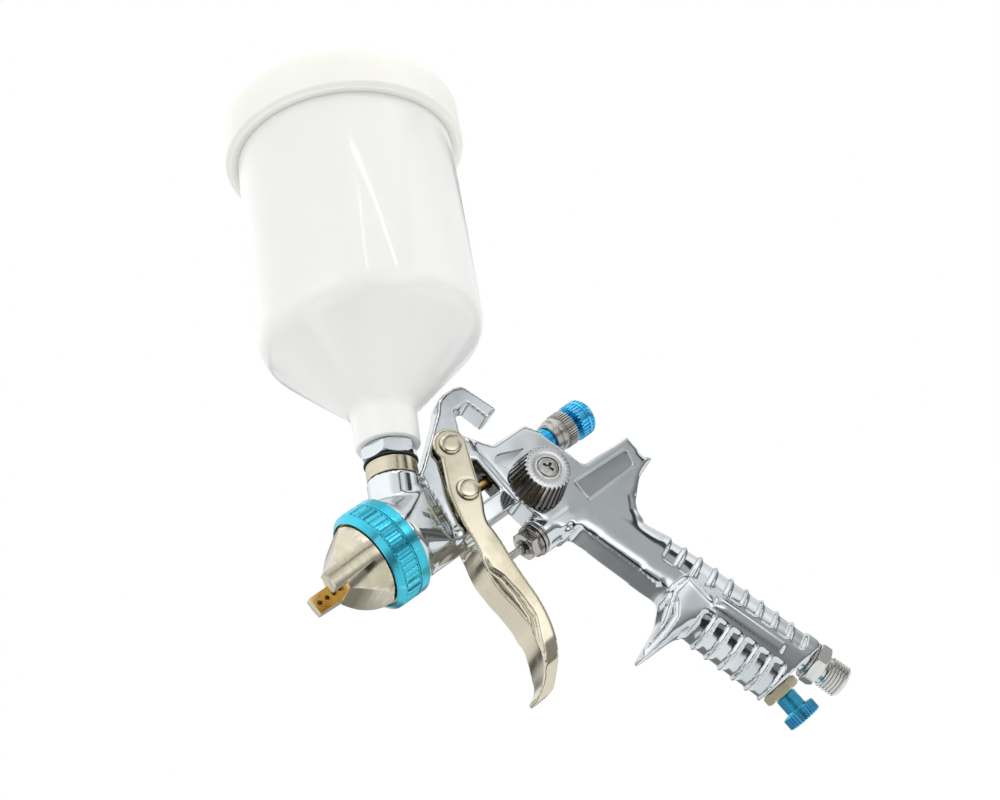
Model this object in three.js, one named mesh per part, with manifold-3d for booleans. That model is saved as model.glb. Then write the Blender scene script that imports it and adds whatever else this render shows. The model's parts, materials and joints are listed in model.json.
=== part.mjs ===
import * as THREE from 'three';
import { mergeVertices } from 'three/addons/utils/BufferGeometryUtils.js';
import Module from 'manifold-3d';

// Gravity-feed spray gun, millimetres. x runs along the spray axis towards the rear, z up, y to the right.
// The places below are measured along the spray axis (z = 0) from a point inside the ring's seat (x = 0).
// At the end the whole gun is moved so that the seat of the hanging hook is the origin.

const wasm = await Module();
wasm.setup();

// Clearances and counts shared by all pieces
const gap = 0.3;
const slip = 0.3;
const overrun = 1;
const weld = 1e-4;
const pointGap = 0.01;
const sharpShare = 0.3;
const hexSides = 6;
const sidesByRadius = [[30, 44], [14, 30], [5.7, 18], [2, 12], [0, 8]];
const cornerSteps = 4;
const sectionPoints = 24;
const arcSteps = 10;

// Retaining ring of the air cap
const capRadius = 16.7;
const ringMouthClearance = 0.8;
const ringMouth = capRadius + ringMouthClearance;
const ringLipDepth = 0.8;
const ringBore = ringMouth + ringLipDepth;
const ringWall = 1.7;
const ringRadius = ringBore + ringWall;
const ringLength = 14.2;
const ringLip = 2;
const ringChamfer = 2.2;
const ringGrooveDepth = 0.6;
const ringGrooveWidth = 0.5;
const ringBandWidth = 4.2;
const knurlWidth = 7.6;
const knurlDepth = 0.45;
const knurlRibs = 44;

// Spray head of the body
const shoulderX = 2.2;
const shoulderRadius = 18.4;
const bossThreadRadius = ringBore - slip;
const noseX = -4.5;
const bellMidX = 12.5;
const bellMidRadius = 11.5;
const bellEndX = 18;
const bellEndRadius = 6.4;

// Air cap
const capFaceX = -26;
const hornTipX = -33.4;
const hornTipRadius = 14.2;
const capShoulderRadius = 9.6;
const hornInnerRadius = 9.4;
const hornWidth = 7.2;
const hornTaperX = -17;
const capWall = 2.2;
const capHoleRadius = 2.3;
const capFlangeLength = 2;
const capFaceRadius = 7;
const hornHoleRadius = 1;
const hornHoleXShares = [0.3, 0.78];
const snapRingWidth = 0.7;
const snapRingProud = 0.45;
const snapRingInset = 0.9;
const flankShares = [
  // share of the length from the flange to the horn's tip, share of the cap's radius
  [1, 0.216],
  [0.75, 0.216],
  [0.64, 0.377],
  [0.53, 0.54],
  [0.43, 0.67],
  [0.3, 0.81],
  [0.17, 0.93],
  [0.1, 1],
];

// Fluid nozzle and needle
const nozzleTipX = -26.3;
const nozzleTipRadius = 1.75;
const nozzleTipLength = 2.4;
const nozzleOrifice = 0.8;
const nozzleThroatLength = 1.1;
const nozzleConeLength = 10;
const nozzleBodyRadius = 6;
const nozzleHex = 15;
const nozzleHexLength = 3;
const nozzleThreadRadius = 5.8;
const nozzleThreadEndX = 3;
const nozzleBore = 3;
const nozzleInnerConeLength = 4.4;
const gasketThickness = 1.2;
const baffleThickness = 2.4;
const baffleRadius = 13.2;
const baffleHoles = 8;
const baffleHoleRadius = 1.1;
const baffleHoleCircle = 10.4;
const needleRadius = 1.6;
const needleTipRadius = 0.4;
const needleTipGap = 0.4;
const needleTaperLength = 4.3;
const needleEndX = 72;
const fluidBore = 3.2;
const fluidBoreEndX = 21;
const packingBore = 3.9;
const packingSealLength = 2.2;
const packingNutRadius = 3.6;
const packingNutHex = 8;
const packingNutHexLength = 3;
const packingSeatX = 29.3;
const packingSeatRadius = 5.4;
const collarDiscRadius = 3.4;
const collarDiscLength = 2.2;
const collarStemRadius = 2.1;
const collarStemEndX = 55;
const needleFlangeX = 60;
const needleFlangeLength = 1.8;
const needleFlangeRadius = 3.8;

// Cup socket, collar, nut and cup, measured along the cup's axis from the spray axis
const cupAxisX = 6.3;
const cupLean = THREE.MathUtils.degToRad(32.6);
const socketRadius = 10.3;
const socketTop = 24.3;
const socketBore = 8;
const collarRadius = 10;
const collarTop = 31;
const sealThickness = 0.8;
const sealRadius = 10.6;
const cupNutHex = 19.6;
const cupNutHexLength = 6;
const cupNutTurn = THREE.MathUtils.degToRad(33);
const cupNutThreadRadius = socketBore - slip;
const cupNutThreadDepth = 12;
const cupNutBore = 5.6;
const cupNutSpigotRadius = 9.4;
const cupNutSpigotLength = 12;
const neckRadius = 13;
const neckFootRadius = 12.5;
const neckTop = 53.7;
const coneTop = 85.1;
const coneRounding = 5;
const cupRadius = 44.9;
const cupRimStep = 0.7;
const cupRimRadius = cupRadius + cupRimStep;
const cupTop = 186;
const cupWall = 2;
const cupBead = 0.6;
const cupBeadDrops = [8.5, 4.5];
const cupBeadWidth = 1.6;
const lidWall = 2;
const lidInnerRadius = cupRimRadius + cupBead + gap;
const lidSkirtWall = 1.9;
const lidRimWall = 3.9;
const lidFootRadius = lidInnerRadius + lidSkirtWall;
const lidRadius = lidInnerRadius + lidRimWall;
const lidGasketThickness = 5.9;
const lidGasketWidth = 3.5;
const lidTop = cupTop + gap + lidGasketThickness + gap + lidWall;
const lidRimHeight = 17;
const lidHeight = 19;
const lidStep = lidTop - lidRimHeight;
const lidFoot = lidTop - lidHeight;
const lidRounding = 3;
const ventHoleRadius = 2.5;
const ventPlugRadius = 5;
const ventPlugHead = 2;
const ventPlugLength = 5;
const filterTubeRadius = 4.6;
const filterWall = 0.8;
const filterFlange = 7;
const filterFlangeThickness = 1;
const filterLength = 17;

// Body plate with the hook, window and rear boss
const plateHalf = 5.4;
const rearHalf = 7;
const edgeRound = 0.9;
const hookSeatZ = 29.7;
const hookTopZ = 37.5;
const hookTopFrontX = 55.5;
const hookTopRearX = 67.5;
const hookTipX = 73;
const hookTipZ = 20.8;
const hookTipInnerX = 67;
const hookTipInnerZ = 19.7;
const hookSlotFrontX = 57.4;
const hookSlotRearX = 64.4;
const hookShoulderX = 51.5;
const hookShoulderZ = 33;
const hookFootX = 29.4;
const hookFootZ = 17;
const hookRound = 3;
const notchX = 52.5;
const notchZ = 20.2;
const bossTopZ = 9.2;
const bossTopFrontX = 59.5;
const bossTopRearX = 76.5;
const bossRearX = 80;
const bossRearZ = 4;
const saddleX = 86;
const saddleZ = -17.8;
const beakTopZ = -18.6;
const beakX = 110.8;
const beakLowZ = -29;
const beakTipX = 114;
const beakTipZ = -31.6;
const palmX = 103;
const palmZ = -34.6;
const palmLowX = 92.6;
const palmLowZ = -43;
const bossLowX = 59.5;
const bossLowZ = -36.5;
const neckInnerX = 72;
const neckInnerZ = -46;
const windowRearX = 50.2;
const windowTopZ = 9.6;
const windowLowZ = -6.5;
const windowPeakX = 39.5;
const windowPeakZ = 15.5;
const windowFrontX = 27.8;
const windowFrontTopX = 36.3;
const cheekFrontX = 22.6;
const cheekFrontZ = 3;
const beamLowZ = -14.6;
const beamZ = -11.5;
const beamRadius = 6;
const beamStartX = 4;
const beamEndX = 34;
const rearFrontX = 52.6;

// Air valve
const valveZ = -29;
const valveBossRadius = 7.2;
const valveBossX = 51.6;
const valveBossEndX = 68;
const valveThreadRadius = 4.9;
const valveThreadEndX = 58;
const valveChamberRadius = 4.5;
const valveChamberEndX = 84;
const valveNutX = 44.3;
const valveNutHex = 11;
const valveNutFlangeRadius = 6.6;
const valveNutFlangeLength = 1.7;
const valveWasherThickness = 1.5;
const valveWasherRadius = 7.1;
const rodRadius = 1.5;
const rodTipX = 22.9;
const rodSealLength = 2;
const valveSeatLength = 1.4;
const valveSeatBore = 2.6;
const valveHeadRadius = 3.8;
const valveHeadLength = 2.6;

// Fan control on the left side
const fanX = 62.9;
const fanZ = -13.1;
const fanBoreRadius = 5.2;
const fanBoreDepth = 10;
const fanBushRadius = 4.9;
const fanBushLength = 7;
const fanSpindleRadius = 2.4;
const fanKnobBaseRadius = 11.5;
const fanKnobFaceRadius = 9.2;
const fanKnobLength = 13.6;
const fanKnobGap = 0.5;
const fanKnobFlutes = 30;
const fanFluteDepth = 0.6;
const fanKnobRecess = 4.4;
const fanScrewRadius = 4.1;
const fanScrewHead = 1.2;
const fanScrewShank = 1.5;
const fanScrewShankLength = 5;
const fanRingThickness = 1.4;

// Fluid control at the rear
const stemRadius = 5.1;
const stemStartX = 69;
const stemBore = 4.2;
const stemBoreEndX = 95;
const stemUndercut = 4.6;
const lockNutX = 85.3;
const lockNutLength = 11.4;
const lockNutRadius = 7.5;
const lockNutNoseRadius = 6.4;
const lockNutNoseLength = 2.4;
const lockNutGrooveX = 90;
const knobClearance = 1.9;
const knobX = lockNutX + lockNutLength + knobClearance;
const knobLength = 8.4;
const knobRadius = 7.7;
const knobRounding = 1.8;
const knobFlutes = 30;
const knobFluteDepth = 0.4;
const rearBore = 5.4;
const rearBoreX = 58;
const guideBore = 2.6;

// Handle, grip and guard
const handleLean = THREE.MathUtils.degToRad(16.8);
const gripEndZ = -130;
const gripHalf = 11.8;
const gripFrontX = 73.5;
const handleStations = [
  // height, front, rear, half width, boxiness of the front and of the back as powers of an ellipse
  [-37, 65.8, 88, 7.2, 0.15, 0.8],
  [-50, 69.2, 93.3, 7.4, 0.15, 0.8],
  [-75, 75.9, 102.9, 7.6, 0.25, 0.9],
  [-84, 75, 105.4, 9.6, 0.6, 1],
  [-94, 72.5, 108, gripHalf, 0.85, 1],
  [gripEndZ, 81.6, 118, gripHalf, 0.85, 1],
];
const padDepth = 0.8;
const padRows = [
  // count, first x and height, pitch, breadth and length of a pocket
  [9, 88.6, -67, 7.2, 7, 5.2],
  [6, 77.6, -94.5, 6.4, 9, 4.6],
];
const finTipX = 48.7;
const finTipZ = -89.8;
const finRootTopZ = -77.5;
const finRootLowZ = -93;
const finTipThickness = 1.6;
const finTipHalf = 2;
const finRound = 4;

// Air inlet and air control in the end of the handle
const inletX = 109.5;
const inletThreadRadius = 6.58;
const inletThreadLength = 8.8;
const inletHex = 15.4;
const inletHexLength = 5;
const inletBore = 4.2;
const inletShankRadius = 5.6;
const inletShankLength = 9;
const inletWasherThickness = 1;
const inletWasherRadius = 7.8;
const inletNeckRadius = 5.8;
const inletNeckLength = 1.5;
const inletSpotRadius = 9.4;
const airBore = 4.3;
const controlX = 90.2;
const controlHex = 13;
const controlHexLength = 4;
const controlShankRadius = 4.3;
const controlShankLength = 9;
const controlStemRadius = 4.2;
const controlStemLength = 6.9;
const controlSpindleRadius = 2.4;
const controlSpindleTopZ = -92;
const controlDiscRadius = 7;
const controlDiscLength = 4.9;
const controlKnurlRibs = 30;
const controlRingThickness = 1.6;

// Trigger
const pivotX = 44;
const pivotZ = 18.5;
const pinRadius = 3;
const pinHeadRadius = 4.4;
const pinHeadThickness = 1.2;
const pullPinX = 37;
const pullPinRadius = 3.5;
const pullNotchHalf = 2.5;
const pullNotchFloor = 2.6;
const triggerHalf = 8.7;
const triggerSheet = 1.5;
const triggerHead = 7;
const triggerWebTopZ = -18.6;
const triggerWebX = 24.6;
const triggerTipX = 4.5;
const triggerTipZ = -78;
const triggerTipHalf = 4;
const triggerTipTaperShares = [0.04, 0.13, 0.25];
const headArcStartShare = -0.075;
const headArcShare = 0.625;
const triggerFrontShares = [
  [0, 0],
  [0.19, 0.17],
  [0.235, 0.34],
  [0.19, 0.5],
  [0.25, 0.66],
  [0.43, 0.82],
  [0.68, 0.93],
];
const triggerRearShares = [
  [-0.48, 0],
  [-0.45, 0.1],
  [-0.38, 0.22],
  [-0.33, 0.36],
  [-0.28, 0.54],
  [-0.13, 0.7],
  [0.08, 0.83],
  [0.38, 0.94],
];

// Springs: real curls, one unbroken tube each
const curlSteps = 8;
const wireSides = 5;
const needleSpringWire = 0.35;
const needleSpringRadius = 3.3;
const needleSpringCurls = 10;
const valveSpringWire = 0.35;
const valveSpringRadius = 3.4;
const valveSpringCurls = 7;
const leastCoilGap = 0.4;

// Helpers: geometry in, closed solid out

function solidFrom(geometry) {
  const place = geometry.attributes.position;
  const index = geometry.index.array;
  const corner = (i) => new THREE.Vector3().fromBufferAttribute(place, i);
  const faces = [];
  let volume = 0;
  for (let i = 0; i < index.length; i += 3) {
    const [a, b, c] = [index[i], index[i + 1], index[i + 2]];
    if (a === b || b === c || c === a) continue;
    faces.push([a, b, c]);
    volume += corner(a).dot(corner(b).cross(corner(c)));
  }
  const outward = volume < 0 ? faces.map(([a, b, c]) => [a, c, b]) : faces;
  return new wasm.Manifold(new wasm.Mesh({
    numProp: 3,
    vertProperties: new Float32Array(place.array),
    triVerts: new Uint32Array(outward.flat()),
  }));
}

function toSolid(geometry) {
  const bare = geometry.index ? geometry.toNonIndexed() : geometry.clone();
  bare.deleteAttribute('normal');
  bare.deleteAttribute('uv');
  return solidFrom(mergeVertices(bare, weld));
}

function toGeometry(solid) {
  const mesh = solid.getMesh();
  const geometry = new THREE.BufferGeometry();
  geometry.setAttribute('position', new THREE.BufferAttribute(mesh.vertProperties, 3));
  geometry.setIndex(new THREE.BufferAttribute(mesh.triVerts, 1));
  geometry.computeVertexNormals();
  return geometry;
}

function join(first, ...others) {
  return others.reduce((sum, next) => sum.add(next), first);
}

function cut(first, ...others) {
  return others.reduce((rest, next) => rest.subtract(next), first);
}

// A matrix that lays a piece made along z on the axis asked for, with its foot at the given place
function laid(axis, x, y, z) {
  const turn = new THREE.Matrix4();
  if (axis === 'x') turn.makeRotationY(Math.PI / 2);
  if (axis === 'left') turn.makeRotationX(Math.PI / 2);
  if (axis === 'down') turn.makeRotationX(Math.PI);
  if (axis === 'cup') turn.makeRotationY(cupLean);
  if (axis === 'handle') turn.makeRotationY(Math.PI - handleLean);
  return new THREE.Matrix4().makeTranslation(x, y, z).multiply(turn);
}

const alongSpray = laid('x', 0, 0, 0);
const alongCup = laid('cup', cupAxisX, 0, 0);
const alongValve = laid('x', 0, 0, valveZ);
const alongFan = laid('left', fanX, 0, fanZ);
const alongControl = laid('down', controlX, 0, gripEndZ);
const alongInlet = laid('handle', inletX, 0, gripEndZ);

// Turned piece: pairs of height and radius, from axis to axis, or a closed loop round a bore
function turned(profile, matrix, sides = 0) {
  const onAxis = profile[0][1] === 0;
  const widest = Math.max(...profile.map(([, radius]) => radius));
  const steps = sides || sidesByRadius.find(([radius]) => widest >= radius)[1];
  const points = profile.map(([height, radius]) => new THREE.Vector2(radius, height));
  if (!onAxis) points.push(points[0].clone());
  const geometry = new THREE.LatheGeometry(points, steps);
  geometry.rotateX(Math.PI / 2);
  return toSolid(geometry.applyMatrix4(matrix));
}

function rod(start, end, radius, matrix, sides = 0) {
  return turned([[start, 0], [start, radius], [end, radius], [end, 0]], matrix, sides);
}

function tube(start, end, outer, inner, matrix, sides = 0) {
  return turned([[start, inner], [start, outer], [end, outer], [end, inner]], matrix, sides);
}

function hexagon(start, end, acrossFlats, matrix) {
  const corner = acrossFlats / 2 / Math.cos(Math.PI / hexSides);
  return turned([[start, 0], [start, corner], [end, corner], [end, 0]], matrix, hexSides);
}

// Outline of points x, z and an optional rounding of the corner, as a shape
function outline(points) {
  const shape = new THREE.Shape();
  const at = ([x, z]) => new THREE.Vector2(x, z);
  points.forEach((point, i) => {
    const here = at(point);
    const reach = point[2] || 0;
    if (reach === 0) {
      if (i === 0) shape.moveTo(here.x, here.y);
      else shape.lineTo(here.x, here.y);
      return;
    }
    const before = at(points.at(i - 1)).sub(here);
    const after = at(points[(i + 1) % points.length]).sub(here);
    const start = here.clone().add(before.setLength(Math.min(reach, before.length() / 2)));
    const end = here.clone().add(after.setLength(Math.min(reach, after.length() / 2)));
    if (i === 0) shape.moveTo(start.x, start.y);
    else shape.lineTo(start.x, start.y);
    shape.quadraticCurveTo(here.x, here.y, end.x, end.y);
  });
  shape.closePath();
  return shape;
}

// Sections of equal counts of points joined into one solid, its ends closed over the flat outline given
function loft(sections, flat) {
  const count = sections[0].length;
  const last = (sections.length - 1) * count;
  const faces = [];
  for (let i = 0; i < sections.length - 1; i += 1) {
    for (let k = 0; k < count; k += 1) {
      const a = i * count + k;
      const b = i * count + ((k + 1) % count);
      faces.push(a, b, b + count, a, b + count, a + count);
    }
  }
  THREE.ShapeUtils.triangulateShape(flat, []).forEach(([a, b, c]) => {
    faces.push(a, c, b, last + a, last + b, last + c);
  });
  const geometry = new THREE.BufferGeometry().setFromPoints(sections.flat());
  geometry.setIndex(faces);
  return solidFrom(geometry);
}

// The outline's points without doubled ones and ones in line with their neighbours, anticlockwise
function cleanContour(points) {
  const all = outline(points).getPoints(cornerSteps);
  const spaced = all.filter((point, i) => point.distanceTo(all.at(i - 1)) > pointGap);
  const bent = spaced.filter((point, i) => {
    const before = spaced.at(i - 1);
    const after = spaced[(i + 1) % spaced.length];
    const reach = after.clone().sub(before);
    return Math.abs(reach.cross(point.clone().sub(before))) > pointGap * reach.length();
  });
  return THREE.ShapeUtils.isClockWise(bent) ? bent.reverse() : bent;
}

// Contour moved inwards by the same distance along every side
function inset(contour, distance) {
  return contour.map((point, i) => {
    const before = contour.at(i - 1);
    const after = contour[(i + 1) % contour.length];
    const arriving = point.clone().sub(before).normalize();
    const leaving = after.clone().sub(point).normalize();
    const inward = new THREE.Vector2(-arriving.y - leaving.y, arriving.x + leaving.x);
    const square = Math.max(1 + arriving.dot(leaving), sharpShare);
    return point.clone().addScaledVector(inward, distance / square);
  });
}

// Plate between two values of y, its rim broken by a small bevel
function plate(points, low, high, bevel = 0) {
  const contour = cleanContour(points);
  const rim = inset(contour, bevel);
  const at = (flat, y) => flat.map((point) => new THREE.Vector3(point.x, y, point.y));
  if (bevel === 0) return loft([at(contour, low), at(contour, high)], contour);
  return loft([at(rim, low), at(contour, low + bevel), at(contour, high - bevel), at(rim, high)], contour);
}

// Ribs or flutes round a turned piece: a star-shaped section pushed along the axis
function fluted(start, end, outer, depth, count, matrix, endOuter = outer) {
  const star = (scale, z) => {
    const points = [];
    for (let i = 0; i < 2 * count; i += 1) {
      const angle = (Math.PI * i) / count;
      const radius = (i % 2 === 0 ? outer : outer - depth) * scale;
      points.push(new THREE.Vector3(radius * Math.cos(angle), radius * Math.sin(angle), z));
    }
    return points;
  };
  const sections = [star(1, start), star(endOuter / outer, end)];
  const flat = sections[0].map((point) => new THREE.Vector2(point.x, point.y));
  sections.forEach((section) => section.forEach((point) => point.applyMatrix4(matrix)));
  return loft(sections, flat);
}

// One unbroken round wire wound about an axis, its curls as one helix with flat ends
function coil(start, end, radius, wire, curls, matrix) {
  const rings = curls * curlSteps + 1;
  const rise = (end - start - 2 * wire) / (rings - 1);
  const points = [];
  const faces = [];
  for (let i = 0; i < rings; i += 1) {
    const angle = (2 * Math.PI * i) / curlSteps;
    const out = new THREE.Vector3(Math.cos(angle), Math.sin(angle), 0);
    const centre = out.clone().multiplyScalar(radius).setZ(start + wire + rise * i);
    for (let k = 0; k < wireSides; k += 1) {
      const turn = (2 * Math.PI * k) / wireSides;
      const point = centre.clone().addScaledVector(out, wire * Math.cos(turn));
      point.z += wire * Math.sin(turn);
      points.push(point);
    }
  }
  for (let i = 0; i < rings - 1; i += 1) {
    for (let k = 0; k < wireSides; k += 1) {
      const a = i * wireSides + k;
      const b = i * wireSides + ((k + 1) % wireSides);
      faces.push(a, b, b + wireSides, a, b + wireSides, a + wireSides);
    }
  }
  for (let k = 1; k < wireSides - 1; k += 1) {
    const last = (rings - 1) * wireSides;
    faces.push(0, k + 1, k, last, last + k, last + k + 1);
  }
  const geometry = new THREE.BufferGeometry().setFromPoints(points);
  geometry.setIndex(faces);
  const between = rise * curlSteps - 2 * wire;
  console.log(`coil of ${curls} curls, least gap to itself ${between.toFixed(2)} mm, limit ${leastCoilGap}`);
  return toSolid(geometry.applyMatrix4(matrix));
}

// Finishes

function finish(color, roughness, metalness) {
  return new THREE.MeshStandardMaterial({ color, roughness, metalness });
}

const chrome = finish('#c9cbcd', 0.18, 1);
const nickel = finish('#bdb7a8', 0.28, 1);
const nickelTrigger = finish('#cfc9bf', 0.22, 1);
const brass = finish('#c79a3c', 0.3, 1);
const steel = finish('#a9a9a6', 0.3, 1);
const darkSteel = finish('#6b675f', 0.35, 1);
const turquoise = finish('#1fb4d2', 0.3, 0.9);
const blue = finish('#0f6fc0', 0.28, 0.9);
const cupPlastic = finish('#eceee9', 0.35, 0);
const lidPlastic = finish('#e6e9e3', 0.4, 0);
const rubber = finish('#161616', 0.7, 0);
const sealPlastic = finish('#f2f2ee', 0.5, 0);

const gun = new THREE.Group();

function add(name, solid, material) {
  const mesh = new THREE.Mesh(toGeometry(solid), material.clone());
  mesh.name = name;
  gun.add(mesh);
}

// Stations worked out from the sizes above
const ringRearX = shoulderX - gap;
const ringFrontX = ringRearX - ringLength;
const capFlangeX = ringFrontX + ringLip + gap;
const capRearX = capFlangeX + capFlangeLength;
const sealFoot = collarTop + gap;
const cupNutFoot = sealFoot + sealThickness + gap;
const cupNutTop = cupNutFoot + cupNutHexLength;

// Gun body

function bodyPlate() {
  const hookAndFront = [
    [hookFootX, hookFootZ],
    [hookShoulderX, hookShoulderZ],
    [hookTopFrontX, hookTopZ, hookRound],
    [hookTopRearX, hookTopZ, hookRound],
    [hookTipX, hookTipZ],
    [hookTipInnerX, hookTipInnerZ],
    [hookSlotRearX, hookSeatZ],
    [hookSlotFrontX, hookSeatZ, hookRound / 2],
    [notchX, notchZ, hookRound / 2],
    [bossTopFrontX, bossTopZ],
    [bossTopFrontX, beamLowZ],
    [beamEndX, beamLowZ],
    [beamEndX - beamRadius, beamLowZ, hookRound],
    [cheekFrontX, cheekFrontZ, hookRound * 2],
  ];
  return plate(hookAndFront, -plateHalf, plateHalf, edgeRound);
}

function bodyRear() {
  const rear = [
    [rearFrontX, windowTopZ],
    [notchX + edgeRound, notchZ - hookRound],
    [bossTopFrontX, bossTopZ, hookRound / 2],
    [bossTopRearX, bossTopZ, hookRound / 2],
    [bossRearX, bossRearZ],
    [saddleX, saddleZ, hookRound / 2],
    [beakX, beakTopZ],
    [beakX, beakLowZ],
    [beakTipX, beakTipZ, edgeRound],
    [palmX, palmZ, hookRound],
    [palmLowX, palmLowZ, hookRound],
    [palmLowX - edgeRound, palmLowZ - hookRound * 2],
    [neckInnerX, neckInnerZ],
    [neckInnerX - hookRound * 2, bossLowZ],
    [bossLowX, bossLowZ],
    [rearFrontX + edgeRound, valveZ + valveBossRadius],
    [rearFrontX, beamLowZ],
  ];
  return plate(rear, -rearHalf, rearHalf, edgeRound);
}

function bodyHead() {
  const bell = turned([
    [noseX, 0],
    [noseX, bossThreadRadius],
    [shoulderX, bossThreadRadius],
    [shoulderX, shoulderRadius],
    [(shoulderX + bellMidX) / 2, (shoulderRadius + bellMidRadius) / 2 + edgeRound],
    [bellMidX, bellMidRadius],
    [bellEndX, bellEndRadius],
    [cheekFrontX + overrun, bellEndRadius - edgeRound],
    [cheekFrontX + overrun, 0],
  ], alongSpray);
  const socket = rod(0, socketTop, socketRadius, alongCup);
  const beam = rod(beamStartX, beamEndX, beamRadius, laid('x', 0, 0, beamZ));
  return join(bell, socket, beam);
}

// Section of the handle at one height: boxy or round at the front and at the back, as the shares say
function handleSection([z, front, rear, half, frontShare, rearShare]) {
  const points = [];
  const centre = (front + rear) / 2;
  const depth = (rear - front) / 2;
  for (let i = 0; i < sectionPoints; i += 1) {
    const angle = (2 * Math.PI * (i + 0.5)) / sectionPoints;
    const c = Math.cos(angle);
    const s = Math.sin(angle);
    const power = c > 0 ? rearShare : frontShare;
    const x = centre + depth * Math.sign(c) * Math.abs(c) ** power;
    const y = half * Math.sign(s) * Math.abs(s) ** power;
    points.push(new THREE.Vector3(x, y, z));
  }
  return points;
}

function bodyHandle() {
  const sections = handleStations.map(handleSection);
  return loft(sections, sections[0].map((point) => new THREE.Vector2(point.x, point.y)));
}

// Front, rear and half width of the handle at any height between two stations
function handleAt(z) {
  const i = Math.max(1, handleStations.findIndex(([height]) => height <= z));
  const [above, below] = [handleStations[i - 1], handleStations[i]];
  const share = (above[0] - z) / (above[0] - below[0]);
  return [1, 2, 3].map((k) => above[k] + share * (below[k] - above[k]));
}

// Two rows of shallow pockets sunk in each side of the grip
function gripPockets() {
  const boxes = [];
  padRows.forEach(([count, firstX, firstZ, pitch, breadth, length]) => {
    for (let i = 0; i < count; i += 1) {
      const z = firstZ - pitch * i * Math.cos(handleLean);
      const x = firstX + pitch * i * Math.sin(handleLean);
      const [front, rear, half] = handleAt(z);
      const offset = (2 * x - front - rear) / (rear - front);
      const slope = Math.atan2(half * offset, (rear - front) / 2 * (1 - offset ** 2) ** 0.5);
      const surface = half * (1 - offset ** 2) ** 0.5;
      [-1, 1].forEach((side) => {
        const box = new THREE.BoxGeometry(breadth, 2 * padDepth, length)
          .rotateZ(-side * slope)
          .rotateY(-handleLean)
          .translate(x, side * surface, z);
        boxes.push(toSolid(box));
      });
    }
  });
  return boxes;
}

function bodyFin() {
  const rootX = gripFrontX + gripHalf;
  const fin = plate([
    [finTipX, finTipZ + finTipThickness / 2],
    [(finTipX + rootX) / 2, (finTipZ + finRootTopZ) / 2],
    [gripFrontX + finRound, finRootTopZ],
    [rootX, finRootTopZ],
    [rootX, finRootLowZ],
    [(finTipX + rootX) / 2, finTipZ - finTipThickness],
    [finTipX, finTipZ - finTipThickness / 2],
  ], -gripHalf, gripHalf);
  const taper = toSolid(new THREE.ExtrudeGeometry(new THREE.Shape([
    new THREE.Vector2(finTipX - overrun, finTipHalf),
    new THREE.Vector2(finTipX - overrun, -finTipHalf),
    new THREE.Vector2(rootX + overrun, -gripHalf),
    new THREE.Vector2(rootX + overrun, gripHalf),
  ]), { depth: finRootTopZ - finRootLowZ + 2 * overrun, bevelEnabled: false })
    .translate(0, 0, finRootLowZ - overrun));
  return fin.intersect(taper);
}

function bodyWindow() {
  return plate([
    [windowFrontX, windowLowZ],
    [windowFrontTopX, windowPeakZ],
    [windowPeakX, windowPeakZ],
    [windowRearX - overrun, windowTopZ],
    [windowRearX, windowTopZ - overrun],
    [windowRearX, windowLowZ],
  ], -rearHalf - overrun, rearHalf + overrun);
}

function addBody() {
  const valveBoss = rod(valveBossX, valveBossEndX, valveBossRadius, alongValve);
  const solid = join(bodyPlate(), bodyRear(), bodyHead(), bodyHandle(), bodyFin(), valveBoss);
  const handleAxis = laid('handle', inletX, 0, gripEndZ);
  const airBoreLength = (valveZ - gripEndZ) / Math.cos(handleLean);
  const intoHandle = handleAxis.clone().multiply(new THREE.Matrix4().makeRotationX(Math.PI));
  const upFromGripEnd = laid('z', controlX, 0, gripEndZ);
  const controlBoreDepth = controlShankLength + 2 * gap + controlRingThickness;
  const spindleBoreDepth = controlSpindleTopZ - gripEndZ + 2 * overrun;
  const gasketEndX = nozzleThreadEndX + gasketThickness + 2 * gap;
  const bores = [
    bodyWindow(),
    rod(noseX - overrun, gasketEndX, nozzleThreadRadius + slip, alongSpray),
    rod(noseX, fluidBoreEndX + overrun, fluidBore, alongSpray),
    rod(fluidBoreEndX, packingSeatX + overrun, packingBore, alongSpray),
    rod(packingSeatX, windowPeakX, packingSeatRadius, alongSpray),
    rod(windowRearX - overrun, rearBoreX + overrun, guideBore, alongSpray),
    rod(rearBoreX, saddleX, rearBore, alongSpray),
    rod(0, socketTop + overrun, cupNutBore, alongCup),
    rod(socketTop - cupNutThreadDepth, socketTop + overrun, socketBore, alongCup),
    rod(valveBossX - overrun, valveThreadEndX, valveThreadRadius + slip, alongValve),
    rod(valveThreadEndX - overrun, valveChamberEndX, valveChamberRadius, alongValve),
    rod(rearHalf - fanBoreDepth, rearHalf + overrun, fanBoreRadius, alongFan),
    rod(noseX - overrun, fanX, beamRadius / 2, laid('x', 0, 0, beamZ)),
    rod(0, fanZ - valveZ, guideBore, laid('z', fanX, 0, valveZ)),
    rod(0, inletSpotRadius, inletSpotRadius, handleAxis),
    rod(-inletShankRadius, inletShankLength, inletShankRadius + slip, intoHandle),
    rod(0, airBoreLength, airBore, intoHandle),
    rod(-overrun, controlBoreDepth, controlShankRadius + slip, upFromGripEnd),
    rod(0, spindleBoreDepth, controlSpindleRadius + slip, upFromGripEnd),
    rod(-rearHalf - overrun, rearHalf + overrun, pinRadius + slip, laid('left', pivotX, 0, pivotZ)),
  ];
  add('gun_body', cut(solid, ...bores, ...gripPockets()), chrome);
}

// Air cap, its ring and what lies behind them

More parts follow.
